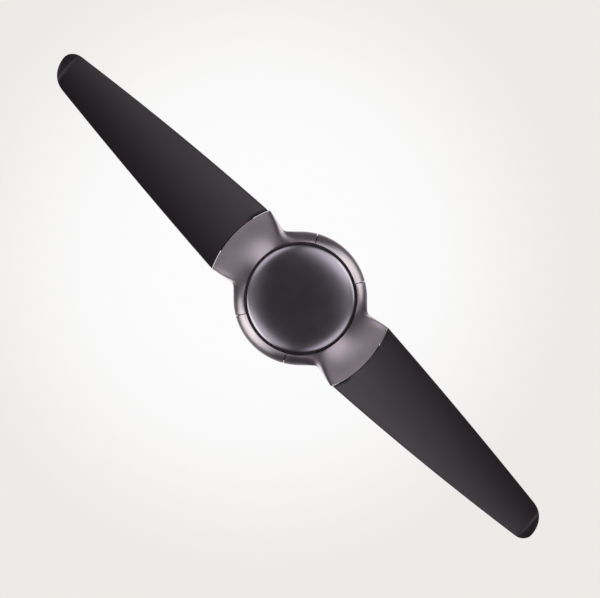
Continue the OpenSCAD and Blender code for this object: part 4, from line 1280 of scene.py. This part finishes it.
def lamp_group(lamps, colour, room):
    """Lamps of one colour added up, each by its strength, over an even light from the room."""
    total = None
    for direction, near, far, strength in lamps:
        add = node(wt, "Math", operation="MULTIPLY_ADD")
        wt.links.new(lamp_amount(direction, near, far), add.inputs[0])
        add.inputs[1].default_value = strength
        if total is None:
            add.inputs[2].default_value = room
        else:
            wt.links.new(total, add.inputs[2])
        total = add.outputs[0]
    shine = node(wt, "Background", Color=(*colour, 1))
    wt.links.new(total, shine.inputs["Strength"])
    return shine


WARM_LIGHT, COOL_LIGHT, ROOM = (1.0, 0.99, 0.965), (1.0, 0.918, 1.0), 0.105
# The backdrop's two colours are painted light: a painted glow in the middle behind the fan, and a darker edge.
BACKDROP_EDGE, BACKDROP_PAINTED_GLOW = (0.84, 0.83, 0.80, 1), (0.975, 0.968, 0.975, 1)

light = node(wt, "AddShader")
wt.links.new(lamp_group(WARM, WARM_LIGHT, 0.0).outputs[0], light.inputs[0])
wt.links.new(lamp_group(COOL, COOL_LIGHT, ROOM).outputs[0], light.inputs[1])
# Painted glow on the backdrop that only the camera sees: the pale middle colour near straight up, the darker edge
# colour further out.
backdrop = node(wt, "ValToRGB")
backdrop.color_ramp.elements[0].color = BACKDROP_EDGE
backdrop.color_ramp.elements[1].color = BACKDROP_PAINTED_GLOW
wt.links.new(lamp_amount(Vector((0, 0, 1)), 0.9985, 0.975), backdrop.inputs["Fac"])
seen = node(wt, "Background", Strength=1.0)
wt.links.new(backdrop.outputs["Color"], seen.inputs["Color"])
eye = node(wt, "LightPath")
choose = node(wt, "MixShader")
wt.links.new(eye.outputs["Is Camera Ray"], choose.inputs[0])
wt.links.new(light.outputs[0], choose.inputs[1])
wt.links.new(seen.outputs[0], choose.inputs[2])
out = node(wt, "OutputWorld")
wt.links.new(choose.outputs[0], out.inputs["Surface"])
bpy.context.scene.view_settings.view_transform = "Standard"
print("lamps", len(WARM) + len(COOL))

# %% [markdown]
# The floor lies far below, pale and plain. It is left out of reflections, because a real studio floor
# under a ceiling fan is shaded by the camera stand and would otherwise wash out the dark cap.

# %% Floor
FLOOR_Z = -4.2
nothing_selected()
bpy.ops.mesh.primitive_plane_add(size=40, location=(0, 0, FLOOR_Z))
floor = bpy.context.object
floor.name = "studio_floor"
wear(floor, finish("pale_floor", ((0.80, 0.79, 0.77), (0.84, 0.83, 0.81)), (0.6, 0.8), (1.2, 60), (0.05, 0.5)))
print("floor at", FLOOR_Z, "m")
floor.visible_glossy = False
floor.visible_diffuse = False
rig.stage(floor)

# %% [markdown]
# Last, the outer box of the new model is measured and written beside the measured one, so that the two
# can be compared.

# %% Measure and finish
with open("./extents.json", "w") as f:
    json.dump({"cad": cad_box, "visual": [list(v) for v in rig.bounds()]}, f)
print("sizes", json.load(open("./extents.json")))
